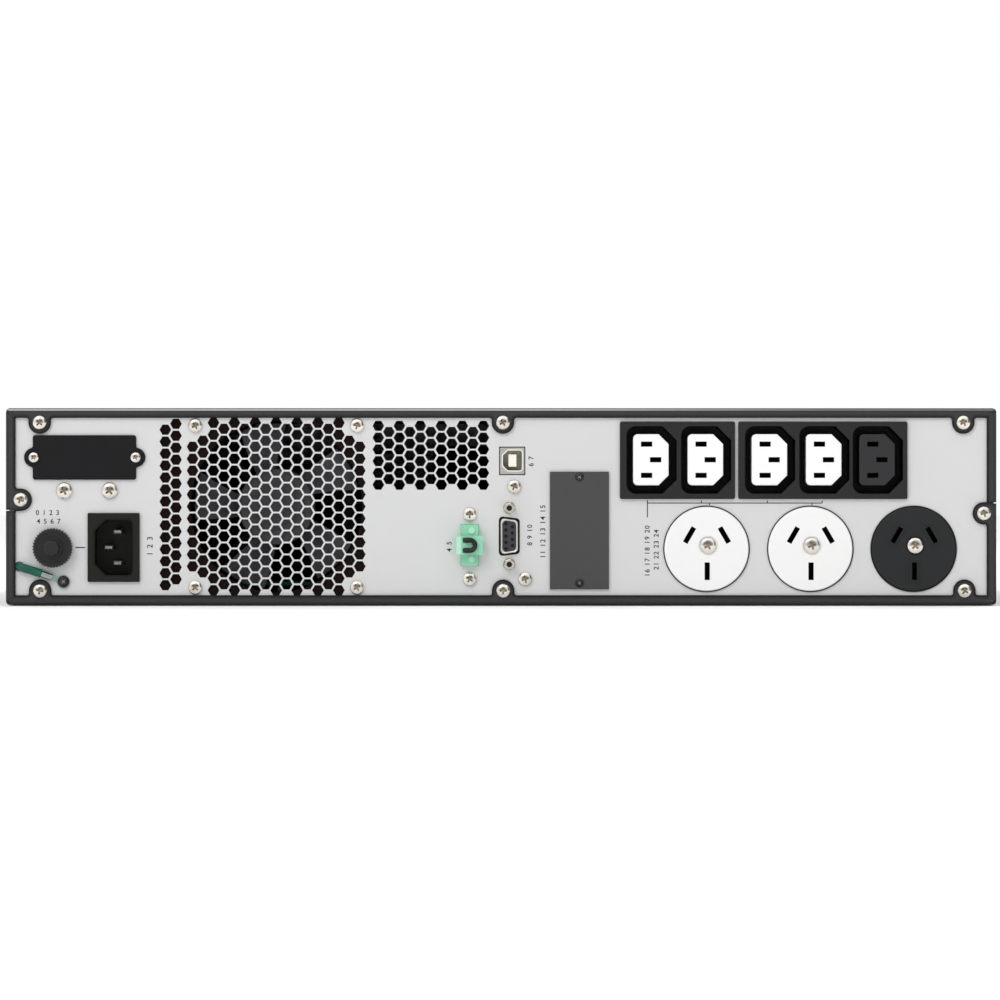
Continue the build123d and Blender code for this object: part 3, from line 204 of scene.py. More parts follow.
def shade(colour, factor):
    return tuple(min(1.0, channel * factor) for channel in colour)


def painted(name, colour, rough=0.45, grain=1800, depth=0.00006, speckle=0.10, edge_tone=1.25, edge_mm=0.5,
            gloss=0.5, painted_highlight=None):
    """Powder-coated sheet: orange-peel grain, fine speckle, soft mottling, rubbed edges or edges darkened as
    painted shade, and an optional painted highlight along the top rear edge.
    """
    s = Shader(name)
    peel = s.noise(grain, 3.0)
    fine = s.noise(grain * 3.1, 2.0)
    mottle = s.noise(14, 4.0)
    base = s.blend(s.remap(fine, 0.35, 0.65, 0, 1), shade(colour, 1 - speckle), shade(colour, 1 + speckle))
    base = s.blend(s.remap(mottle, 0.3, 0.7, 0, 0.5), base, shade(colour, 1 - speckle * 0.8))
    # Edges at a tone below 1 are darkened as painted shade, dark outlines along every edge; a tone above 1
    # lightens them as rubbed wear.
    full_edge = 0.06 if edge_tone < 1 else 0.9       # a darkened edge is a hard line, a rubbed one fades
    base = s.blend(s.edge(edge_mm * MM, 0.015, full_edge), base, shade(colour, edge_tone))
    # Painted highlight: a light line along the top rear edge, fading towards +X, for the light caught by the
    # rolled edge.
    if painted_highlight:
        low_z, high_z, level = painted_highlight
        above, below = s.along("Z", low_z, low_z + 0.3 * MM), s.along("Z", high_z + 0.1 * MM, high_z)
        line = s.math("MULTIPLY", above, below)
        fade = s.along("X", 0.02, 0.14, 1.0, 0.35)
        rear_edge = s.along("Y", lip_rear + 1.0 * MM, lip_rear + 0.7 * MM)
        line = s.math("MULTIPLY", s.math("MULTIPLY", line, fade), rear_edge)
        base = s.blend(line, base, level)
    s.colour(base)
    s.roughness(s.remap(s.math("ADD", peel, mottle), 0.7, 1.3, rough - 0.06, rough + 0.08))
    s.bump((peel, depth, 0.35), (fine, depth * 0.4, 0.25))
    s.set(Specular_IOR_Level=gloss)
    return s.material


def plastic(name, colour, rough=0.4, grain=2600, depth=0.00003, edge_tone=1.3, variation=0.06, gloss=0.5,
            well_shade=None):
    """Moulded plastic: spark-eroded grain, tone drift and scuffed edges, with painted shade behind a well's
    face.
    """
    s = Shader(name)
    grain_value = s.noise(grain, 2.0)
    drift = s.noise(30, 3.0)
    scuff = s.noise(420, 4.0, stretch=(1, 1, 3))
    base = s.blend(s.remap(drift, 0.3, 0.7, 0, 1), shade(colour, 1 - variation), shade(colour, 1 + variation))
    rubbed = s.math("MULTIPLY", s.edge(0.35 * MM, 0.05, 0.8), s.remap(scuff, 0.35, 0.7, 0.2, 1.0))
    base = s.blend(rubbed, base, shade(colour, edge_tone))
    # Painted shade: faces deeper than the well's face take a darker copy of the colour.
    if well_shade:
        face, level = well_shade
        base = s.blend(s.along("Y", face + 0.05 * MM, face + 0.5 * MM), base, shade(colour, level))
    s.colour(base)
    s.roughness(s.remap(s.math("ADD", grain_value, scuff), 0.7, 1.3, rough - 0.05, rough + 0.09))
    s.bump((grain_value, depth, 0.3))
    s.set(Specular_IOR_Level=gloss)
    return s.material


def metal(name, colour, rough=0.28, brushed=(1, 1, 1), tarnish=0.75, depth=0.00002, well_shade=None):
    """Plated or brushed metal: scratches, clouded tarnish and bright edges, with painted shade behind a
    well's face.
    """
    s = Shader(name)
    scratch = s.noise(1500, 4.0, 0.65, stretch=brushed)
    cloud = s.noise(160, 4.0)
    base = s.blend(s.remap(cloud, 0.35, 0.7, 0, 1), colour, shade(colour, tarnish))
    base = s.blend(s.edge(0.25 * MM, 0.05, 0.8), base, shade(colour, 1.15))
    # Painted shade: faces deeper than the well's face take the darker colour given with it.
    if well_shade:
        face, level = well_shade
        base = s.blend(s.along("Y", face + 0.2 * MM, face + 0.8 * MM), base, level)
    s.colour(base)
    s.roughness(s.remap(s.math("ADD", scratch, cloud), 0.7, 1.3, rough - 0.08, rough + 0.12))
    s.bump((scratch, depth, 0.25))
    s.set(Metallic=1.0)
    return s.material


def rubbery(name, colour, rough=0.5):
    """Flexible sheath or foam: faint lines and soft blotches."""
    s = Shader(name)
    lines = s.noise(900, 2.0, stretch=(0.2, 1, 1))
    blotch = s.noise(220, 3.0)
    s.colour(s.blend(s.remap(blotch, 0.35, 0.65, 0, 1), shade(colour, 0.8), shade(colour, 1.25)))
    s.roughness(s.remap(lines, 0.3, 0.7, rough - 0.1, rough + 0.1))
    s.bump((lines, 0.00003, 0.3))
    s.set(Specular_IOR_Level=0.25)
    return s.material


def circuit_board(name, colour):
    """Solder mask with faint copper tracks and pads under it."""
    s = Shader(name)
    tracks = s.noise(180, 1.0, stretch=(1, 0.12, 1))
    pads = s.cells(220)
    line = s.remap(tracks, 0.49, 0.51, 0, 1)
    base = s.blend(line, colour, shade(colour, 1.5))
    base = s.blend(s.remap(pads, 0.16, 0.12, 0, 1), base, (0.62, 0.60, 0.52))
    s.colour(base)
    s.roughness(s.remap(line, 0, 1, 0.32, 0.40))
    s.bump((line, 0.00004, 0.4))
    return s.material


def glossy_lens(name):
    """Dark display lens: smoked clear plastic with faint smears."""
    s = Shader(name)
    smear = s.noise(60, 4.0, stretch=(1, 1, 0.3))
    s.colour(s.blend(s.remap(smear, 0.3, 0.7, 0, 1), (0.010, 0.013, 0.020), (0.016, 0.020, 0.030)))
    s.roughness(s.remap(smear, 0.3, 0.7, 0.05, 0.14))
    s.bump((smear, 0.00002, 0.1))
    s.set(Coat_Weight=0.6, Coat_Roughness=0.05)
    return s.material


def ink(name, colour):
    """Screen-printed ink: slightly uneven cover."""
    s = Shader(name)
    cover = s.noise(1400, 3.0)
    s.colour(s.blend(s.remap(cover, 0.4, 0.75, 0, 1), colour, shade(colour, 2.0)))
    s.roughness(s.remap(cover, 0.3, 0.7, 0.45, 0.6))
    s.bump((cover, 0.00001, 0.2))
    s.set(Specular_IOR_Level=0.2)
    return s.material


materials = {
    # The case's edges are darkened as painted shade, and a painted highlight runs along its top rear edge.
    "charcoal_case": painted(
        "charcoal_case", (0.037, 0.037, 0.039), rough=0.50, speckle=0.06, edge_tone=0.06, edge_mm=2.2, gloss=0.33,
        painted_highlight=(cad_box[1].z - 1.25 * MM, cad_box[1].z - 0.45 * MM, (0.42, 0.42, 0.43))),
    "grey_panel": painted(
        "grey_panel", (0.71, 0.71, 0.712), rough=0.42, speckle=0.05, edge_tone=1.03, edge_mm=0.3),
    "black_plate": painted(
        "black_plate", (0.0085, 0.0085, 0.010), rough=0.55, speckle=0.35, edge_tone=0.5, gloss=0.18),
    "grey_plate": painted(
        "grey_plate", (0.070, 0.070, 0.072), rough=0.55, speckle=0.08, edge_tone=0.6, edge_mm=0.35, gloss=0.25),
    "zinc_steel": metal("zinc_steel", (0.40, 0.41, 0.42), rough=0.40, brushed=(1, 0.06, 1)),
    "nickel_screw": metal("nickel_screw", (0.86, 0.81, 0.73), rough=0.16, tarnish=0.80),
    "dark_screw": metal("dark_screw", (0.050, 0.048, 0.050), rough=0.36, tarnish=0.7),
    "bright_steel": metal("bright_steel", (0.80, 0.79, 0.74), rough=0.34, tarnish=0.9),
    "contact_brass": metal("contact_brass", (0.72, 0.55, 0.28), rough=0.3),
    "black_plastic": plastic("black_plastic", (0.020, 0.020, 0.020), rough=0.42, edge_tone=1.5, gloss=0.35),
    # Painted shade darkens the outlet blocks' wells below their faces.
    "outlet_black": plastic("outlet_black", (0.020, 0.020, 0.021), rough=0.42, edge_tone=1.3, gloss=0.25,
                            well_shade=(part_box("twin_outlet_block")[0].y, 0.06)),
    "insert_black": plastic("insert_black", (0.028, 0.028, 0.030), rough=0.42, edge_tone=1.3, gloss=0.3),
    "outlet_white": plastic("outlet_white", (0.93, 0.93, 0.925), rough=0.32, edge_tone=1.0, variation=0.01),
    "ivory_plastic": plastic("ivory_plastic", (0.95, 0.93, 0.84), rough=0.4, edge_tone=1.0, variation=0.03),
    "mint_plastic": plastic("mint_plastic", (0.30, 0.70, 0.47), rough=0.34, edge_tone=1.25, variation=0.10),
    "wire_black": rubbery("wire_black", (0.016, 0.022, 0.019), rough=0.32),
    "sleeve_green": rubbery("sleeve_green", (0.012, 0.105, 0.070), rough=0.38),
    "board_green": circuit_board("board_green", (0.02, 0.16, 0.07)),
    "sink_aluminium": metal("sink_aluminium", (0.03, 0.03, 0.032), rough=0.42, brushed=(1, 0.05, 1)),
    "capacitor_sleeve": plastic("capacitor_sleeve", (0.02, 0.03, 0.07), rough=0.3, edge_tone=1.2),
    "winding": plastic("winding", (0.20, 0.08, 0.03), rough=0.35, edge_tone=1.2),
    "connector_plastic": plastic("connector_plastic", (0.10, 0.10, 0.11), rough=0.45),
    "battery_case": plastic("battery_case", (0.05, 0.05, 0.055), rough=0.5, edge_tone=1.4),
    "bezel_plastic": plastic("bezel_plastic", (0.020, 0.020, 0.022), rough=0.42, edge_tone=1.6),
    "display_lens": glossy_lens("display_lens"),
    "key_rubber": plastic("key_rubber", (0.06, 0.06, 0.065), rough=0.5, edge_tone=1.3),
    "print_ink": ink("print_ink", (0.008, 0.008, 0.009)),
    "pale_ink": ink("pale_ink", (0.42, 0.44, 0.46)),
    # Black for painted shade in gaps, slots and socket mouths.
    "painted_shade_black": rubbery("painted_shade_black", (0.004, 0.004, 0.004), rough=0.6),
    "dark_void": rubbery("dark_void", (0.0035, 0.0022, 0.0020), rough=0.8),
    # Brown-black frame colour holds painted shade: the frame is darkened to its shaded look behind the
    # grille.
    "fan_frame_plastic": plastic(
        "fan_frame_plastic", (0.0090, 0.0042, 0.0036), rough=0.6, edge_tone=1.2, gloss=0.08),
    "fan_rotor_plastic": plastic("fan_rotor_plastic", (0.050, 0.050, 0.054), rough=0.45, edge_tone=1.3, gloss=0.3),
    "fan_blade_plastic": plastic("fan_blade_plastic", (0.100, 0.100, 0.110), rough=0.33, edge_tone=1.6, gloss=0.5),
    "inlet_plastic": plastic("inlet_plastic", (0.0100, 0.0105, 0.0078), rough=0.40, edge_tone=1.7, gloss=0.25),
    "breaker_plastic": plastic("breaker_plastic", (0.019, 0.019, 0.020), rough=0.45, edge_tone=2.2, gloss=0.3),
    "black_round": plastic("black_round", (0.0155, 0.0165, 0.0175), rough=0.45, edge_tone=1.5, gloss=0.3),
    "insert_white": plastic("insert_white", (0.99, 0.99, 0.985), rough=0.3, edge_tone=1.0, variation=0.005),
    # Painted shade darkens the inside of the socket's mouth behind its face.
    "usb_steel": metal(
        "usb_steel", (0.66, 0.65, 0.61), rough=0.36, well_shade=(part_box("usb_shell")[0].y, (0.50, 0.48, 0.38))),
    # Pin colour holds painted shade: the pins are darkened to their shaded look deep in the inlet.
    "inlet_pin": metal("inlet_pin", (0.42, 0.42, 0.38), rough=0.3, tarnish=0.5),
    "recess_shadow": metal("recess_shadow", (0.50, 0.41, 0.33), rough=0.35, tarnish=0.6),
    "bore_shadow": plastic("bore_shadow", (0.030, 0.020, 0.014), rough=0.6, edge_tone=1.0, gloss=0.1),
    "insert_violet": plastic("insert_violet", (0.034, 0.031, 0.044), rough=0.4),
    "mint_pale": plastic("mint_pale", (0.50, 0.84, 0.66), rough=0.3, edge_tone=1.1),
    "crimp_metal": metal("crimp_metal", (0.42, 0.52, 0.52), rough=0.3, tarnish=0.6),
    # Brown-black of painted shade seen through the narrow grille.
    "vent_shade_brown": plastic("vent_shade_brown", (0.0105, 0.0050, 0.0043), rough=0.7, edge_tone=1.1, gloss=0.05),
    "lamp_green": plastic("lamp_green", (0.10, 0.45, 0.16), rough=0.2, edge_tone=1.1),
    "lamp_amber": plastic("lamp_amber", (0.65, 0.30, 0.04), rough=0.2, edge_tone=1.1),
}

slot_of = {entry["node"]: entry["material_slot"] for entry in record["subparts"]}
finer_material = {
    "round_outlet_right": "black_round",
    "white_outlet_inserts": "insert_white",
    "usb_shell": "usb_steel",
    "inlet_pins": "inlet_pin",
    "serial_insert": "insert_violet",
    "earth_lugs": "crimp_metal",
    "fan_frame": "fan_frame_plastic",
    "inlet_housing": "inlet_plastic",
    "breaker_nut": "breaker_plastic",
    "breaker_body": "breaker_plastic",
    "breaker_button": "breaker_plastic",
}
for name, node in nodes.items():
    node.data.materials.clear()
    node.data.materials.append(materials[finer_material.get(name, slot_of[name])])
    for polygon in node.data.polygons:
        polygon.material_index = 0


# ---------------------------------------------------------------- mesh helpers
def make_piece(name, bm, material, body="case", stands_for=None, smooth_below=math.radians(38),
               second=None):
    """Turns a bmesh into a piece riding on its body; faces with index 1 take the second material."""
    bmesh.ops.recalc_face_normals(bm, faces=bm.faces)
    for face in bm.faces:
        face.smooth = True
    for edge in bm.edges:
        edge.smooth = edge.calc_face_angle(math.pi) < smooth_below
    mesh = bpy.data.meshes.new(name)
    bm.to_mesh(mesh)
    bm.free()
    mesh.materials.append(materials[material])
    if second:
        mesh.materials.append(materials[second])
    piece = bpy.data.objects.new(name, mesh)
    bpy.context.scene.collection.objects.link(piece)
    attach(piece, body)
    if stands_for:
        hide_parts(stands_for)
    return piece


def centre_of(node):
    low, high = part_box(node)
    return (low + high) / 2


def rounded(points, radii, steps=6):
    """Outline through the points, with each corner rounded by its radius."""
    outline = []
    for number, (point, radius) in enumerate(zip(points, radii)):
        here = Vector(point)
        back = (Vector(points[number - 1]) - here).normalized()
        ahead = (Vector(points[(number + 1) % len(points)]) - here).normalized()
        half = back.angle(ahead) / 2
        centre = here + (back + ahead).normalized() * (radius / math.sin(half))
        start = (here + back * (radius / math.tan(half)) - centre).normalized()
        end = (here + ahead * (radius / math.tan(half)) - centre).normalized()
        outline += [centre + start.slerp(end, step / steps) * radius for step in range(steps + 1)]
    return outline


def rectangle(centre_x, centre_z, width, height, radius=0.0001):
    """Outline of a rectangle with rounded corners, anticlockwise as seen from behind."""
    half_x, half_z = width / 2, height / 2
    corners = [(-half_x, -half_z), (half_x, -half_z), (half_x, half_z), (-half_x, half_z)]
    return rounded([(centre_x + x, centre_z + z) for x, z in corners], [radius] * 4)


def circle(x, z, radius, steps=96):
    """Outline of a circle, anticlockwise as seen from behind."""
    angles = [2 * math.pi * number / steps for number in range(steps)]
    return [(x + radius * math.cos(a), z + radius * math.sin(a)) for a in angles]


def turned(outline, centre, angle):
    """The outline turned about a centre, anticlockwise as seen from behind."""
    spin = Matrix.Rotation(angle, 2)
    return [Vector(centre) + spin @ (Vector(point) - Vector(centre)) for point in outline]


def prism(bm, outline, y_rear, y_front):
    """Closed solid of an outline between two depths."""
    rear = [bm.verts.new((x, y_rear, z)) for x, z in outline]
    front = [bm.verts.new((x, y_front, z)) for x, z in outline]
    bm.faces.new(rear)
    bm.faces.new(front[::-1])
    for number in range(len(rear)):
        bm.faces.new((rear[number - 1], front[number - 1], front[number], rear[number]))


def disc(bm, x, z, radius, y_rear, y_front):
    """Round plug between two depths."""
    prism(bm, circle(x, z, radius, 32), y_rear, y_front)


def band(bm, outer, inner, y_rear, y_front):
    """Closed ring between two outlines that have the same number of points."""
    rings = [[bm.verts.new((x, y, z)) for x, z in outline] for outline, y in
             ((outer, y_rear), (outer, y_front), (inner, y_front), (inner, y_rear))]
    for side in range(4):
        near, far = rings[side - 1], rings[side]
        for number in range(len(outer)):
            bm.faces.new((near[number - 1], near[number], far[number], far[number - 1]))


def bead(bm, outline, y, radius, sides=10):
    """Round bead along a closed outline at depth y."""
    rings = []
    count = len(outline)
    for number in range(count):
        here = Vector(outline[number])
        along = (Vector(outline[(number + 1) % count]) - Vector(outline[number - 1])).normalized()
        across = Vector((along.y, -along.x))
        ring = []
        for side in range(sides):
            angle = 2 * math.pi * side / sides
            spot = here + across * (radius * math.cos(angle))
            ring.append(bm.verts.new((spot.x, y + radius * math.sin(angle), spot.y)))
        rings.append(ring)
    for number in range(count):
        for side in range(sides):
            bm.faces.new((rings[number - 1][side - 1], rings[number - 1][side],
                          rings[number][side], rings[number][side - 1]))


def lathe(bm, profile, segments=48):
    """Solid of revolution about Y from (radius, y) points, the first and last on the axis."""
    first = bm.verts.new((0, profile[0][1], 0))
    last = bm.verts.new((0, profile[-1][1], 0))
    rings = []
    for radius, y in profile[1:-1]:
        angles = [2 * math.pi * number / segments for number in range(segments)]
        rings.append([bm.verts.new((radius * math.cos(a), y, radius * math.sin(a))) for a in angles])
    for number in range(segments):
        bm.faces.new((first, rings[0][number], rings[0][number - 1]))
        bm.faces.new((last, rings[-1][number - 1], rings[-1][number]))
        for near, far in zip(rings, rings[1:]):
            bm.faces.new((near[number], far[number], far[number - 1], near[number - 1]))


def carved(bm, cutter):
    """The first solid less the second, as a new bmesh."""
    holders = []
    for solid in (bm, cutter):
        bmesh.ops.recalc_face_normals(solid, faces=solid.faces)
        mesh = bpy.data.meshes.new("solid")
        solid.to_mesh(mesh)
        solid.free()
        holder = bpy.data.objects.new("solid", mesh)
        bpy.context.scene.collection.objects.link(holder)
        holders.append(holder)
    modifier = holders[0].modifiers.new("cut", "BOOLEAN")
    modifier.operation = "DIFFERENCE"
    modifier.solver = "EXACT"
    modifier.object = holders[1]
    bpy.context.view_layer.update()
    shaped = holders[0].evaluated_get(bpy.context.evaluated_depsgraph_get()).to_mesh()
    result = bmesh.new()
    result.from_mesh(shaped)
    for holder in holders:
        bpy.data.objects.remove(holder)
    return result


def add_copy(bm, template, matrix):
    """Adds a transformed copy of one bmesh to another."""
    mesh = bpy.data.meshes.new("copy")
    template.to_mesh(mesh)
    mesh.transform(matrix)
    bm.from_mesh(mesh)
    bpy.data.meshes.remove(mesh)


def separate_solids(node):
    """Points of each separate solid in a CAD node."""
    bm = bmesh.new()
    bm.from_mesh(nodes[node].data)
    bmesh.ops.remove_doubles(bm, verts=bm.verts, dist=WELD)
    groups = []
    seen = set()
    for start in bm.verts:
        if start in seen:
            continue
        group, waiting = [], [start]
        seen.add(start)
        while waiting:
            vertex = waiting.pop()
            group.append(vertex.co.copy())
            for edge in vertex.link_edges:
                other = edge.other_vert(vertex)
                if other not in seen:
                    seen.add(other)
                    waiting.append(other)
        groups.append(group)
    bm.free()
    return groups


# ---------------------------------------------------------------- screws
def cross_cutter(radius, height):
    """Tapered cross that cuts a driver recess into a head whose top is at -height."""
    bm = bmesh.new()
    levels = ((-height - 0.1 * MM, 0.56, 0.125), (-0.42 * height, 0.30, 0.085))
    rings = []
    for y, reach, half in levels:
        corners = [(reach, -half), (reach, half), (half, half)]
        ring = []
        for quarter in range(4):
            turn = Matrix.Rotation(math.pi / 2 * quarter, 2)
            for corner in corners:
                x, z = turn @ Vector(corner) * radius
                ring.append(bm.verts.new((x, y, z)))
        rings.append(ring)
    bm.faces.new(rings[0])
    bm.faces.new(rings[1][::-1])
    for number in range(len(rings[0])):
        bm.faces.new((rings[0][number - 1], rings[1][number - 1], rings[1][number], rings[0][number]))
    return bm


def pan_head(radius, height):
    """Domed head with a driver recess, its seat at y 0 and a short shank behind it."""
    bm = bmesh.new()
    power = 2 / 2.5
    steps = 10
    profile = [(0, -height)]
    for step in range(1, steps + 1):
        angle = math.pi / 2 * step / steps
        dome_y = -height * (0.12 + 0.88 * math.cos(angle) ** power)
        profile.append((radius * math.sin(angle) ** power, dome_y))
    profile += [(radius, -0.04 * height), (0.97 * radius, 0), (0.45 * radius, 0)]
    profile += [(0.45 * radius, radius), (0, radius)]
    lathe(bm, profile)
    head = carved(bm, cross_cutter(radius, height))
    for face in head.faces:
        middle = face.calc_center_median()
        reach = math.hypot(middle.x, middle.z) / radius
        if reach < 0.6 and middle.y < 0:
            dome = -height * (0.12 + 0.88 * max(0.0, 1 - reach ** (2 / power)) ** (power / 2))
            face.material_index = int(middle.y > dome + 0.03 * height)
    return head


def flat_head(radius, depth):
    """Countersunk head with a driver recess, its flat at y -depth."""
    bm = bmesh.new()
    shank = 0.52 * radius
    lathe(bm, [(0, -depth), (0.96 * radius, -depth), (radius, -0.94 * depth), (shank, 0),
               (shank, 2 * depth), (0, 2 * depth)])
    return carved(bm, cross_cutter(0.9 * radius, depth))


def replace_pan_screws(node, material):
    """Detailed heads in place of a node's plain screws, each turned its own way."""
    turns = random.Random(len(node))
    bm = bmesh.new()
    templates = {}
    for points in separate_solids(node):
        low = Vector(min(point[axis] for point in points) for axis in range(3))
        high = Vector(max(point[axis] for point in points) for axis in range(3))
        turn = Matrix.Rotation(turns.uniform(0, math.pi / 2), 4, "Y")
        across_z = high.z - low.z
        if node == "cover_screws" and low.y > lip_rear:
            side = math.copysign(1, low.x)
            depth = 1.2 * MM
            if "flat" not in templates:
                templates["flat"] = flat_head(across_z / 2, depth)
            face_x = high.x if side > 0 else low.x
            place = Matrix.Translation((face_x - side * depth, (low.y + high.y) / 2, (low.z + high.z) / 2))
            facing = Matrix.Rotation(side * math.pi / 2, 4, "Z")
            add_copy(bm, templates["flat"], place @ facing @ turn)
            continue
        radius = across_z / 2
        centre = Vector(((low.x + high.x) / 2, 0, (low.z + high.z) / 2))
        rim = [point.y for point in points if (point.xz - centre.xz).length > 0.98 * radius]
        seat = max(rim)
        key = round(radius / MM, 1)
        if key not in templates:
            templates[key] = pan_head(radius, seat - low.y)
        add_copy(bm, templates[key], Matrix.Translation((centre.x, seat, centre.z)) @ turn)
    for template in templates.values():
        template.free()
    return make_piece(node + "_detailed", bm, material, stands_for=node, second="recess_shadow")


for screw_node, finish in (
    ("cover_screws", "nickel_screw"),
    ("panel_screws", "nickel_screw"),
    ("round_outlet_screws", "nickel_screw"),
    ("slot_screws", "dark_screw"),
    ("earth_screw", "dark_screw"),
):
    replace_pan_screws(screw_node, finish)


# ---------------------------------------------------------------- fan rotor
def fan_rotor():
    """Hub with a dished face and five curved blades, in place of the plain rotor."""
    low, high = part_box("fan_rotor")
    frame_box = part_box("fan_frame")
    centre = (frame_box[0] + frame_box[1]) / 2
    hub_radius, tip_radius = 17 * MM, 36.8 * MM
    rear = low.y
    front = frame_box[1].y - 4.5 * MM
    bm = bmesh.new()
    lathe(bm, [
        (0, rear + 0.5 * MM), (11 * MM, rear + 0.5 * MM), (11.6 * MM, rear + 0.15 * MM),
        (15.6 * MM, rear), (16.6 * MM, rear + 0.3 * MM), (hub_radius, rear + 1.2 * MM),
        (hub_radius, front), (3 * MM, front), (1.5 * MM, front + 0.2 * MM), (1.5 * MM, high.y), (0, high.y),
    ], segments=96)
    hub_faces = len(bm.faces)
    blades, radial_steps, chord_steps = 5, 14, 10
    first_angle, blade_width, sweep = math.radians(35), math.radians(33), math.radians(-7)
    thickness = 0.6 * MM
    for blade in range(blades):
        middle_angle = first_angle + 2 * math.pi * blade / blades
        sheets = []
        for side in (-1, 1):
            grid = []
            for i in range(radial_steps + 1):
                u = i / radial_steps
                radius = (hub_radius - 1 * MM) * (1 - u) + tip_radius * u
                depth = (15.5 - 3.5 * u) * MM
                row = []
                for j in range(chord_steps + 1):
                    v = j / chord_steps - 0.5
                    angle = middle_angle + sweep * u + v * blade_width
                    camber = 2.2 * MM * (1 - 4 * v * v)
                    half = side * thickness * (1 - 3.2 * v * v)
                    y = (rear + front) / 2 + v * depth + camber + half
                    row.append(bm.verts.new((radius * math.cos(angle), y, radius * math.sin(angle))))
                grid.append(row)
            sheets.append(grid)
        below, above = sheets
        for i in range(radial_steps):
            for j in range(chord_steps):
                bm.faces.new((below[i][j], below[i][j + 1], below[i + 1][j + 1], below[i + 1][j]))
                bm.faces.new((above[i][j], above[i + 1][j], above[i + 1][j + 1], above[i][j + 1]))
            for j in (0, chord_steps):
                bm.faces.new((below[i][j], below[i + 1][j], above[i + 1][j], above[i][j]))
        for j in range(chord_steps):
            for i in (0, radial_steps):
                bm.faces.new((below[i][j], above[i][j], above[i][j + 1], below[i][j + 1]))
    for number, face in enumerate(bm.faces):
        face.material_index = int(number >= hub_faces)
    bmesh.ops.translate(bm, verts=bm.verts, vec=(centre.x, 0, centre.z))
    return make_piece("fan_rotor_curved", bm, "fan_rotor_plastic", body="fan_rotor",
                      stands_for="fan_rotor", second="fan_blade_plastic")


fan_rotor()


# ---------------------------------------------------------------- painted shade in gaps, slots, holes and vents, with rims, studs and filters
def opening_shade_strip():
    """Black strip of painted shade on the wall of the rear opening, where the lip's inner edge is shaded,
    round the screw tabs too.
    """
    bm = bmesh.new()
    for node in ("base_chassis", "top_cover"):
        bm.from_mesh(nodes[node].data)
    bmesh.ops.remove_doubles(bm, verts=bm.verts, dist=WELD)
    slack = 0.05 * MM
    screw_clearance = 2.6 * MM
    thickness = 0.55 * MM
    longest_corner = 1.5
    inner_x = cad_box[1].x - lip_width + slack
    low_z, high_z = cad_box[0].z + lip_width - slack, cad_box[1].z - lip_width + slack
    axes = []
    for points in separate_solids("cover_screws"):
        if min(point.y for point in points) < lip_rear:
            axes.append(sum((point.xz for point in points), Vector((0, 0))) / len(points))
    unwanted = []
    for face in bm.faces:
        middle = face.calc_center_median()
        in_lip = all(lip_rear - slack < vert.co.y < panel_rear + slack for vert in face.verts)
        in_opening = abs(middle.x) < inner_x and low_z < middle.z < high_z
        by_screw = any((middle.xz - axis).length < screw_clearance for axis in axes)
        if not in_lip or not in_opening or by_screw or abs(face.normal.y) > 0.5:
            unwanted.append(face)
    bmesh.ops.delete(bm, geom=unwanted, context="FACES")
    bm.normal_update()
    inner = list(bm.verts)
    faces = list(bm.faces)
    outer = {}
    for vert in inner:
        spot = vert.co + vert.normal * (thickness * min(vert.calc_shell_factor(), longest_corner))
        spot.y = vert.co.y
        outer[vert] = bm.verts.new(spot)
    rims = [edge for edge in bm.edges if edge.is_boundary]
    for face in faces:
        bm.faces.new([outer[vert] for vert in reversed(face.verts)])
    for edge in rims:
        first, second = edge.verts
        bm.faces.new((first, second, outer[second], outer[first]))
    for vert in bm.verts:
        vert.co.y = max(vert.co.y, lip_rear + slack)
    make_piece("opening_shade_strip", bm, "painted_shade_black")


def serial_points(grow):
    """Corners of the nine-way connector's outline, larger all round by grow."""
    middle = centre_of("serial_shell")
    half, left, right = 3.75 * MM + grow, 8.0 * MM + grow, 6.9 * MM + grow
    corner = 1.7 * MM + max(grow, -1 * MM)
    points = [(-half, -left), (half, -right), (half, right), (-half, left)]
    return rounded([(middle.x + x, middle.z + z) for x, z in points], [corner] * 4, 8)


def serial_trim():
    """Black ring of painted shade in the gap round the nine-way connector, and the rolled rim of its shell.
    """
    gap_shade_width = 1.7 * MM
    gap_shade_rear, gap_shade_front = panel_rear + 0.35 * MM, panel_inner + 0.75 * MM
    rim_inset, rim_radius = 0.35 * MM, 0.36 * MM
    bm = bmesh.new()
    band(bm, serial_points(gap_shade_width), serial_points(CLEARANCE), gap_shade_rear, gap_shade_front)
    make_piece("serial_gap_shade", bm, "painted_shade_black")
    bm = bmesh.new()
    bead(bm, serial_points(-rim_inset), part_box("serial_shell")[0].y + 0.1 * MM, rim_radius)
    make_piece("serial_rolled_rim", bm, "bright_steel")


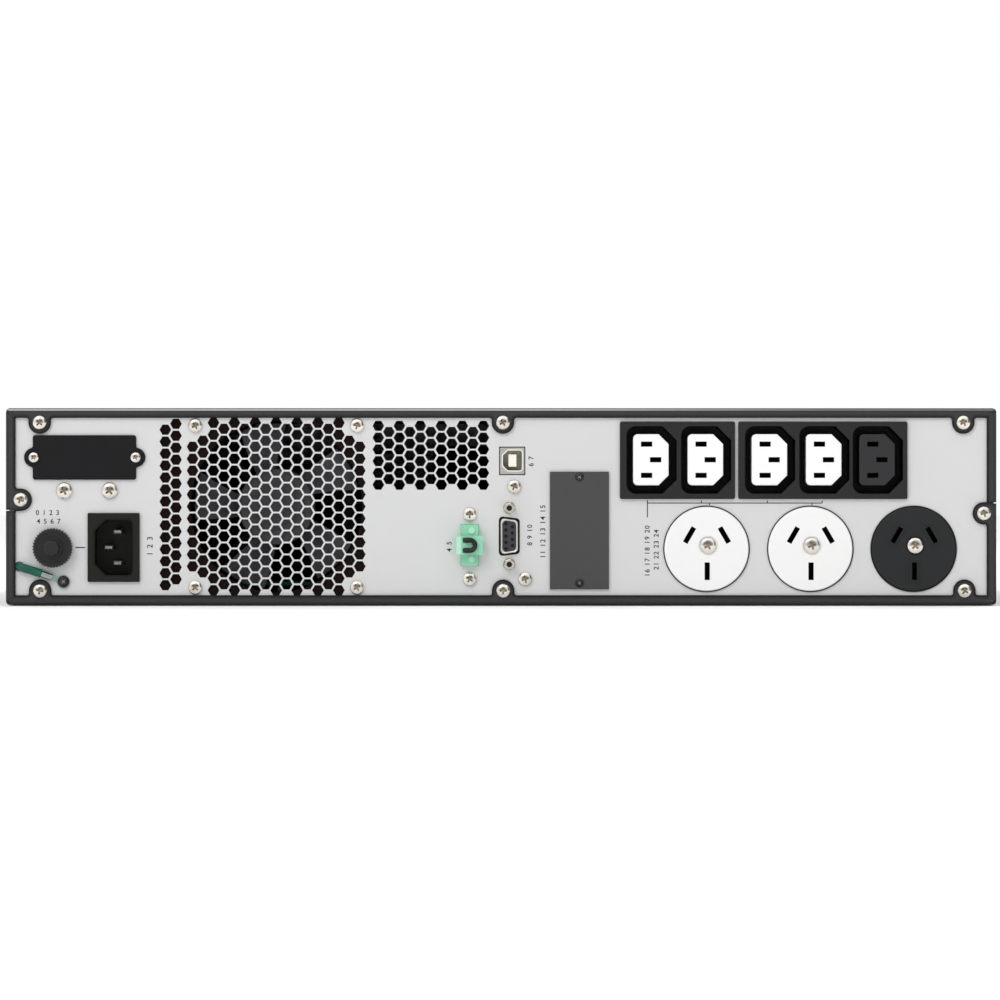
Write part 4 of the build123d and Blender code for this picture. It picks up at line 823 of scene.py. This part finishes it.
def usb_trim():
    """Rolled rim round the mouth of the square socket, and a black ring of painted shade in the gap round its
    shell.
    """
    low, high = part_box("usb_shell")
    middle = (low + high) / 2
    mouth_x, mouth_z = middle.x + 0.1 * MM, middle.z + 0.15 * MM
    half_x, half_z, cut = 4.45 * MM, 4.65 * MM, 2.3 * MM
    tight, wide = 0.5 * MM, 1.3 * MM
    rim_radius = 0.26 * MM
    gap = 0.88 * MM
    points = [(-half_x, half_z - cut), (-half_x, cut - half_z), (cut - half_x, -half_z), (half_x, -half_z),
              (half_x, half_z), (cut - half_x, half_z)]
    radii = [tight, tight, tight, wide, wide, tight]
    bm = bmesh.new()
    outline = rounded([(mouth_x + x, mouth_z + z) for x, z in points], radii)
    bead(bm, outline, low.y + 0.05 * MM, rim_radius)
    make_piece("usb_rolled_rim", bm, "ivory_plastic")
    bm = bmesh.new()
    width, height = high.x - low.x, high.z - low.z
    outer = rectangle(middle.x, middle.z, width + gap, height + gap)
    inner = rectangle(middle.x, middle.z, width + CLEARANCE, height + CLEARANCE)
    band(bm, outer, inner, panel_rear + 0.2 * MM, panel_inner)
    make_piece("usb_gap_shade", bm, "painted_shade_black")


def slot_cup(bm, x, z, length, angle, y_rear, y_floor):
    """Thin-walled black cup of painted shade that fits one slot."""
    play, wall = 0.04 * MM, 0.1 * MM
    shapes = [turned(rectangle(x, z, length - gap, slot_width - gap), (x, z), angle)
              for gap in (play, play + 2 * wall)]
    band(bm, *shapes, y_rear, y_floor)
    prism(bm, shapes[0], y_floor + 0.01 * MM, y_floor + 0.4 * MM)


def slot_shade_linings():
    """Black cups of painted shade that line every outlet slot down to its contact."""
    setback = 0.12 * MM
    flat_floor, angled_floor = panel_rear + 9.4 * MM, panel_rear + 14 * MM
    bm = bmesh.new()
    inserts = separate_solids("white_outlet_inserts") + separate_solids("black_outlet_insert")
    for points in inserts:
        x = (min(point.x for point in points) + max(point.x for point in points)) / 2
        z = (min(point.z for point in points) + max(point.z for point in points)) / 2
        face = min(point.y for point in points)
        for step_x, step_z in flat_slots:
            slot_cup(bm, x + step_x * MM, z + step_z * MM, flat_slot_length, 0, face + setback, flat_floor)
    for node in round_outlets:
        middle = centre_of(node)
        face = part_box(node)[0].y
        for step_x, step_z, angle in angled_slots:
            x, z = middle.x + step_x * MM, middle.z + step_z * MM
            slot_cup(bm, x, z, angled_slot_length, math.radians(angle), face + setback, angled_floor)
    make_piece("slot_shade_linings", bm, "painted_shade_black")


def air_filters():
    """Foam dust filters behind the two front vents that open into the bays."""
    bm = bmesh.new()
    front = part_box("front_panel")[0].y
    middle_z = centre_of("front_panel").z
    height, corner = 61 * MM, 2 * MM
    for low_x, high_x in ((-206, -124), (-35, 7)):
        outline = rectangle((low_x + high_x) / 2 * MM, middle_z, (high_x - low_x) * MM, height, corner)
        prism(bm, outline, front - 4 * MM, front - 0.1 * MM)
    make_piece("air_filters", bm, "dark_void")


def outlet_gap_shade():
    """Black rings of painted shade in the gaps round the faces of the three round outlets."""
    width, depth = 0.42 * MM, 0.5 * MM
    bm = bmesh.new()
    for node in round_outlets:
        middle = centre_of(node)
        outer, inner = (circle(middle.x, middle.z, round_face_radius + grow) for grow in (width, CLEARANCE))
        band(bm, outer, inner, panel_rear - depth, panel_rear)
    make_piece("outlet_gap_shade", bm, "painted_shade_black")


def jackscrew_bores():
    """Shadowed plugs down the tapped holes of the two jackscrews."""
    radius, setback, reach = 1.22 * MM, 0.35 * MM, 3 * MM
    bm = bmesh.new()
    for points in separate_solids("serial_jackscrews"):
        z = (min(point.z for point in points) + max(point.z for point in points)) / 2
        tip = min(point.y for point in points)
        disc(bm, centre_of("serial_shell").x, z, radius, tip + setback, tip + reach)
    make_piece("jackscrew_bores", bm, "bore_shadow")


def serial_socket_shade():
    """Black discs of painted shade for the shaded mouths of the nine sockets."""
    radius, height = 0.78 * MM, 0.04 * MM
    bm = bmesh.new()
    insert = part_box("serial_insert")
    middle = centre_of("serial_shell")
    for step_x, count in serial_columns:
        for pin in range(count):
            z = middle.z + (pin - (count - 1) / 2) * serial_pitch
            disc(bm, middle.x + step_x * MM, z, radius, insert[0].y - height, insert[0].y)
    make_piece("serial_socket_shade", bm, "painted_shade_black")


def epo_trim():
    """Pale studs on the emergency header, and the pale key along the plug's left edge."""
    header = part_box("epo_header")
    radius, inset, low_step, high_step = 1.35 * MM, 3.0 * MM, 2.9 * MM, 2.6 * MM
    bm = bmesh.new()
    for z in (header[0].z + low_step, header[1].z - high_step):
        disc(bm, header[1].x - inset, z, radius, header[0].y - 0.1 * MM, header[0].y + 0.3 * MM)
    make_piece("epo_header_studs", bm, "mint_pale")
    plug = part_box("epo_plug")
    margin = 0.4 * MM
    left, right = plug[0].x + 0.3 * MM, plug[0].x + 2.4 * MM
    low_z, high_z = plug[0].z + margin, plug[1].z - margin
    bm = bmesh.new()
    corners = [(left, low_z), (right, low_z), (right, high_z), (left, high_z)]
    prism(bm, corners, plug[0].y - 0.08 * MM, plug[0].y + 0.2 * MM)
    make_piece("epo_plug_key", bm, "mint_pale", body="epo_plug")


def vent_shade_sheet():
    """Brown-black sheet of painted shade behind the narrow grille, between the inlet and the fan."""
    low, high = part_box("fan_frame")
    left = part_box("inlet_housing")[1].x + 0.6 * MM
    right = low.x - 0.4 * MM
    bm = bmesh.new()
    corners = [(left, low.z), (right, low.z), (right, high.z), (left, high.z)]
    prism(bm, corners, panel_inner + 0.1 * MM, panel_inner + 0.9 * MM)
    make_piece("vent_shade_sheet", bm, "vent_shade_brown")


opening_shade_strip()
outlet_gap_shade()
jackscrew_bores()
serial_socket_shade()
epo_trim()
vent_shade_sheet()
serial_trim()
usb_trim()
slot_shade_linings()
air_filters()


# ---------------------------------------------------------------- printed marks
def line_mark(bm, x_low, x_high, z_low, z_high, y=None):
    """Printed line or bar on the rear panel, or on a front-facing face at depth y."""
    face = panel_rear if y is None else y
    outward = -HAIR if y is None else HAIR
    corners = [(x_low, z_low), (x_high, z_low), (x_high, z_high), (x_low, z_high)]
    prism(bm, corners, *sorted((face + outward, face - outward / 2)))


def numerals(bm, text, x, z, height, upward=True):
    """Printed numerals on the rear panel, reading upwards unless told otherwise."""
    digit_share = 0.72
    curve = bpy.data.curves.new("numerals", "FONT")
    curve.body = text
    curve.size = height / digit_share
    curve.align_x = "CENTER"
    curve.align_y = "CENTER"
    curve.extrude = HAIR
    curve.space_character = 1.2
    curve.offset = 0.04 * MM
    holder = bpy.data.objects.new("numerals", curve)
    bpy.context.scene.collection.objects.link(holder)
    bpy.context.view_layer.update()
    shaped = holder.evaluated_get(bpy.context.evaluated_depsgraph_get())
    mesh = bpy.data.meshes.new_from_object(shaped)
    spin = Matrix.Rotation(math.pi / 2 if upward else 0, 4, "Z")
    mesh.transform(Matrix.Translation((x, panel_rear, z)) @ Matrix.Rotation(math.pi / 2, 4, "X") @ spin)
    bm.from_mesh(mesh)
    bpy.data.objects.remove(holder)


def leader_lines(bm):
    """Line from the breaker to the inlet, and the rail that links the switched outlets."""
    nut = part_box("breaker_nut")
    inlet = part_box("inlet_housing")
    thick, thin = 0.50 * MM, 0.42 * MM
    middle = (nut[0].z + nut[1].z) / 2 + 0.2 * MM
    line_mark(bm, nut[1].x + 1.1 * MM, inlet[0].x - 1.2 * MM, middle - thick / 2, middle + thick / 2)

    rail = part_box("twin_outlet_block")[0].z - 1.75 * MM
    inserts = separate_solids("white_outlet_inserts")
    centres = sorted((min(p.x for p in points) + max(p.x for p in points)) / 2 for points in inserts)
    start = centres[0] - 1.5 * MM
    end = centres[3] - 0.6 * MM
    stem_half, stem_drop, stem_rise = 0.2 * MM, 6.3 * MM, 1.3 * MM
    line_mark(bm, start, end, rail - thin / 2, rail + thin / 2)
    line_mark(bm, start - stem_half, start + stem_half, rail - stem_drop, rail + stem_rise)
    for x in (centres[1] - 1.8 * MM, centres[2] - 0.9 * MM, end):
        line_mark(bm, x - thin / 2, x + thin / 2, rail, rail + 1.1 * MM)
    for node, step in (("round_outlet_left", 1.3 * MM), ("round_outlet_middle", 0.8 * MM)):
        x = centre_of(node).x + step
        line_mark(bm, x - thin / 2, x + thin / 2, rail - 0.9 * MM, rail)
    return start


def panel_marks():
    """Leader lines, and plain numbers where the sockets are labelled."""
    bm = bmesh.new()
    start = leader_lines(bm)
    height = 2.2 * MM
    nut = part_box("breaker_nut")
    numerals(bm, "0 1 2 3", nut[0].x + 6.4 * MM, nut[1].z + 6.7 * MM, height, upward=False)
    numerals(bm, "4 5 6 7", nut[0].x + 6.9 * MM, nut[1].z + 2.9 * MM, height, upward=False)
    left, right = 0, 1
    beside = (
        ("1 2 3", "inlet_housing", right, 4.6, 0.6, 2.5 * MM),
        ("4 5", "epo_plug", left, -2.8, -0.6, height),
        ("6 7", "usb_shell", right, 3.1, -0.2, height),
        ("8 9 10", "serial_shell", right, 2.9, 0.5, height),
        ("11 12 13 14 15", "slot_cover", left, -3.0, -0.5, 2.3 * MM),
    )
    for text, node, side, step_x, step_z, size in beside:
        numerals(bm, text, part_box(node)[side].x + step_x * MM, centre_of(node).z + step_z * MM, size)
    outlet_z = centre_of("round_outlet_left").z
    numerals(bm, "16 17 18 19 20", start, outlet_z - 1 * MM, height)
    numerals(bm, "21 22 23 24", start + 4.0 * MM, outlet_z - 0.4 * MM, height)
    make_piece("panel_marks", bm, "print_ink", smooth_below=0.1)


panel_marks()


# ---------------------------------------------------------------- front details
def level_bars(bm):
    """Two rows of lit bars on the display's window."""
    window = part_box("display_window")
    glass = window[1].y
    bars, gap, bar_width = 5, 1.0 * MM, 5.2 * MM
    rows = ((window[0].z + 4 * MM, 3 * MM), (window[1].z - 8 * MM, 4 * MM))
    for row_z, height in rows:
        for number in range(bars):
            x = (window[0].x + window[1].x) / 2 + (number - (bars - 1) / 2) * (bar_width + gap)
            line_mark(bm, x - bar_width / 2, x + bar_width / 2, row_z, row_z + height, glass)


def key_symbols(bm):
    """Triangles over the up and down buttons, and rings over the other two."""
    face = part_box("display_housing")[1].y
    size = 1.2 * MM
    for name in ("power_button", "up_button", "down_button", "enter_button"):
        x = centre_of(name).x
        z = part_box(name)[1].z + 1.2 * MM
        if name in ("up_button", "down_button"):
            lift = 1 if name == "up_button" else -1
            points = [(x - size * lift, z - 0.6 * size * lift), (x + size * lift, z - 0.6 * size * lift),
                      (x, z + size * lift)]
            prism(bm, points, face - HAIR, face + HAIR)
        else:
            band(bm, circle(x, z, size, 24), circle(x, z, 0.72 * size, 24), face - HAIR, face + HAIR)
            if name == "power_button":
                line_mark(bm, x - 0.15 * MM, x + 0.15 * MM, z, z + 1.5 * MM, face)


def status_lamps():
    """Two small domed lamps over the window."""
    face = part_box("display_housing")[1].y
    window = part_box("display_window")
    radius, dome, shoulder, depth = 1.1 * MM, 0.30 * MM, 0.22 * MM, 1.0 * MM
    for name, material, side in (("ready_lamp", "lamp_green", -1), ("fault_lamp", "lamp_amber", 1)):
        bm = bmesh.new()
        lathe(bm, [(0, dome), (0.6 * radius, shoulder), (radius, 0), (radius, -depth), (0, -depth)])
        spot = Vector((centre_of("display_window").x + side * 4 * MM, face, window[1].z + 3.4 * MM))
        bmesh.ops.translate(bm, verts=bm.verts, vec=spot)
        make_piece(name, bm, material, body="display")


def display_marks():
    """Everything that is lit or printed on the display."""
    bm = bmesh.new()
    level_bars(bm)
    key_symbols(bm)
    make_piece("display_marks", bm, "pale_ink", body="display", smooth_below=0.1)
    status_lamps()


display_marks()


# ---------------------------------------------------------------- stage, lights and camera
def area_light(name, location, size, power):
    """Square soft light aimed at the middle of the case."""
    light = bpy.data.lights.new(name, "AREA")
    light.energy = power
    light.shape = "RECTANGLE"
    light.size = size
    light.size_y = size
    holder = bpy.data.objects.new(name, light)
    bpy.context.scene.collection.objects.link(holder)
    holder.location = location
    direction = (cad_box[0] + cad_box[1]) / 2 - Vector(location)
    holder.rotation_euler = direction.to_track_quat("-Z", "Y").to_euler()


def studio_world():
    """White surroundings for the backdrop; for light, a tent with dimmer ends and a dark right flag."""
    world = bpy.data.worlds.new("studio")
    bpy.context.scene.world = world
    s = NodeTree(world)
    axes = s.add("ShaderNodeSeparateXYZ")
    s.link(s.add("ShaderNodeTexCoord").outputs["Generated"], axes.inputs["Vector"])
    toward_ends = s.math("ABSOLUTE", axes.outputs["Y"])
    ends = s.remap(toward_ends, 0.84, 0.96, 1.0, 0.22, smooth=True)
    right_flag = s.remap(axes.outputs["X"], 0.55, 0.80, 1.0, 0.15, smooth=True)
    sky = s.remap(axes.outputs["Z"], 0.15, 0.75, 0.88, 1.22, smooth=True)
    tent = s.tree.nodes["Background"]
    tent.inputs["Color"].default_value = WHITE
    s.link(s.math("MULTIPLY", s.math("MULTIPLY", ends, right_flag), sky), tent.inputs["Strength"])
    backdrop = s.add("ShaderNodeBackground")
    backdrop.inputs["Color"].default_value = WHITE
    choice = s.add("ShaderNodeMixShader")
    s.link(s.add("ShaderNodeLightPath").outputs["Is Camera Ray"], choice.inputs["Fac"])
    s.link(tent.outputs["Background"], choice.inputs[1])
    s.link(backdrop.outputs["Background"], choice.inputs[2])
    s.link(choice.outputs["Shader"], s.tree.nodes["World Output"].inputs["Surface"])


def build_floor():
    """Pale plain floor just under the case."""
    reach, drop = 14.0, 0.4 * MM
    grid = bmesh.new()
    bmesh.ops.create_grid(grid, x_segments=4, y_segments=4, size=reach)
    mesh = bpy.data.meshes.new("floor")
    grid.to_mesh(mesh)
    grid.free()
    floor = bpy.data.objects.new("floor", mesh)
    floor.location = (0, 0, cad_box[0].z - drop)
    bpy.context.scene.collection.objects.link(floor)
    s = Shader("floor")
    cloud = s.noise(3, 3.0)
    s.colour(s.blend(cloud, (0.93, 0.93, 0.93), (0.96, 0.96, 0.96)))
    s.roughness(s.remap(cloud, 0.3, 0.7, 0.75, 0.85))
    s.set(Specular_IOR_Level=0.2)
    mesh.materials.append(s.material)


def build_camera():
    """Long lens, square to the rear panel, as far off as makes the case nearly fill the frame."""
    frame_width = 0.442
    middle_x, middle_z = -0.0005, 0.0464
    camera = bpy.data.cameras.new("camera")
    camera.lens = 200
    camera.sensor_width = 36
    distance = frame_width * camera.lens / camera.sensor_width
    holder = bpy.data.objects.new("camera", camera)
    bpy.context.scene.collection.objects.link(holder)
    holder.location = (middle_x, lip_rear - distance, middle_z)
    holder.rotation_euler = (math.pi / 2, 0, 0)
    camera.clip_start = 0.05
    camera.clip_end = 60
    bpy.context.scene.camera = holder


build_floor()
studio_world()
area_light("key", (-1.1, -2.2, 2.0), 1.0, 15)
area_light("front_key", (1.1, 2.4, 1.8), 1.2, 16)
build_camera()
bpy.context.scene.view_settings.view_transform = "Standard"
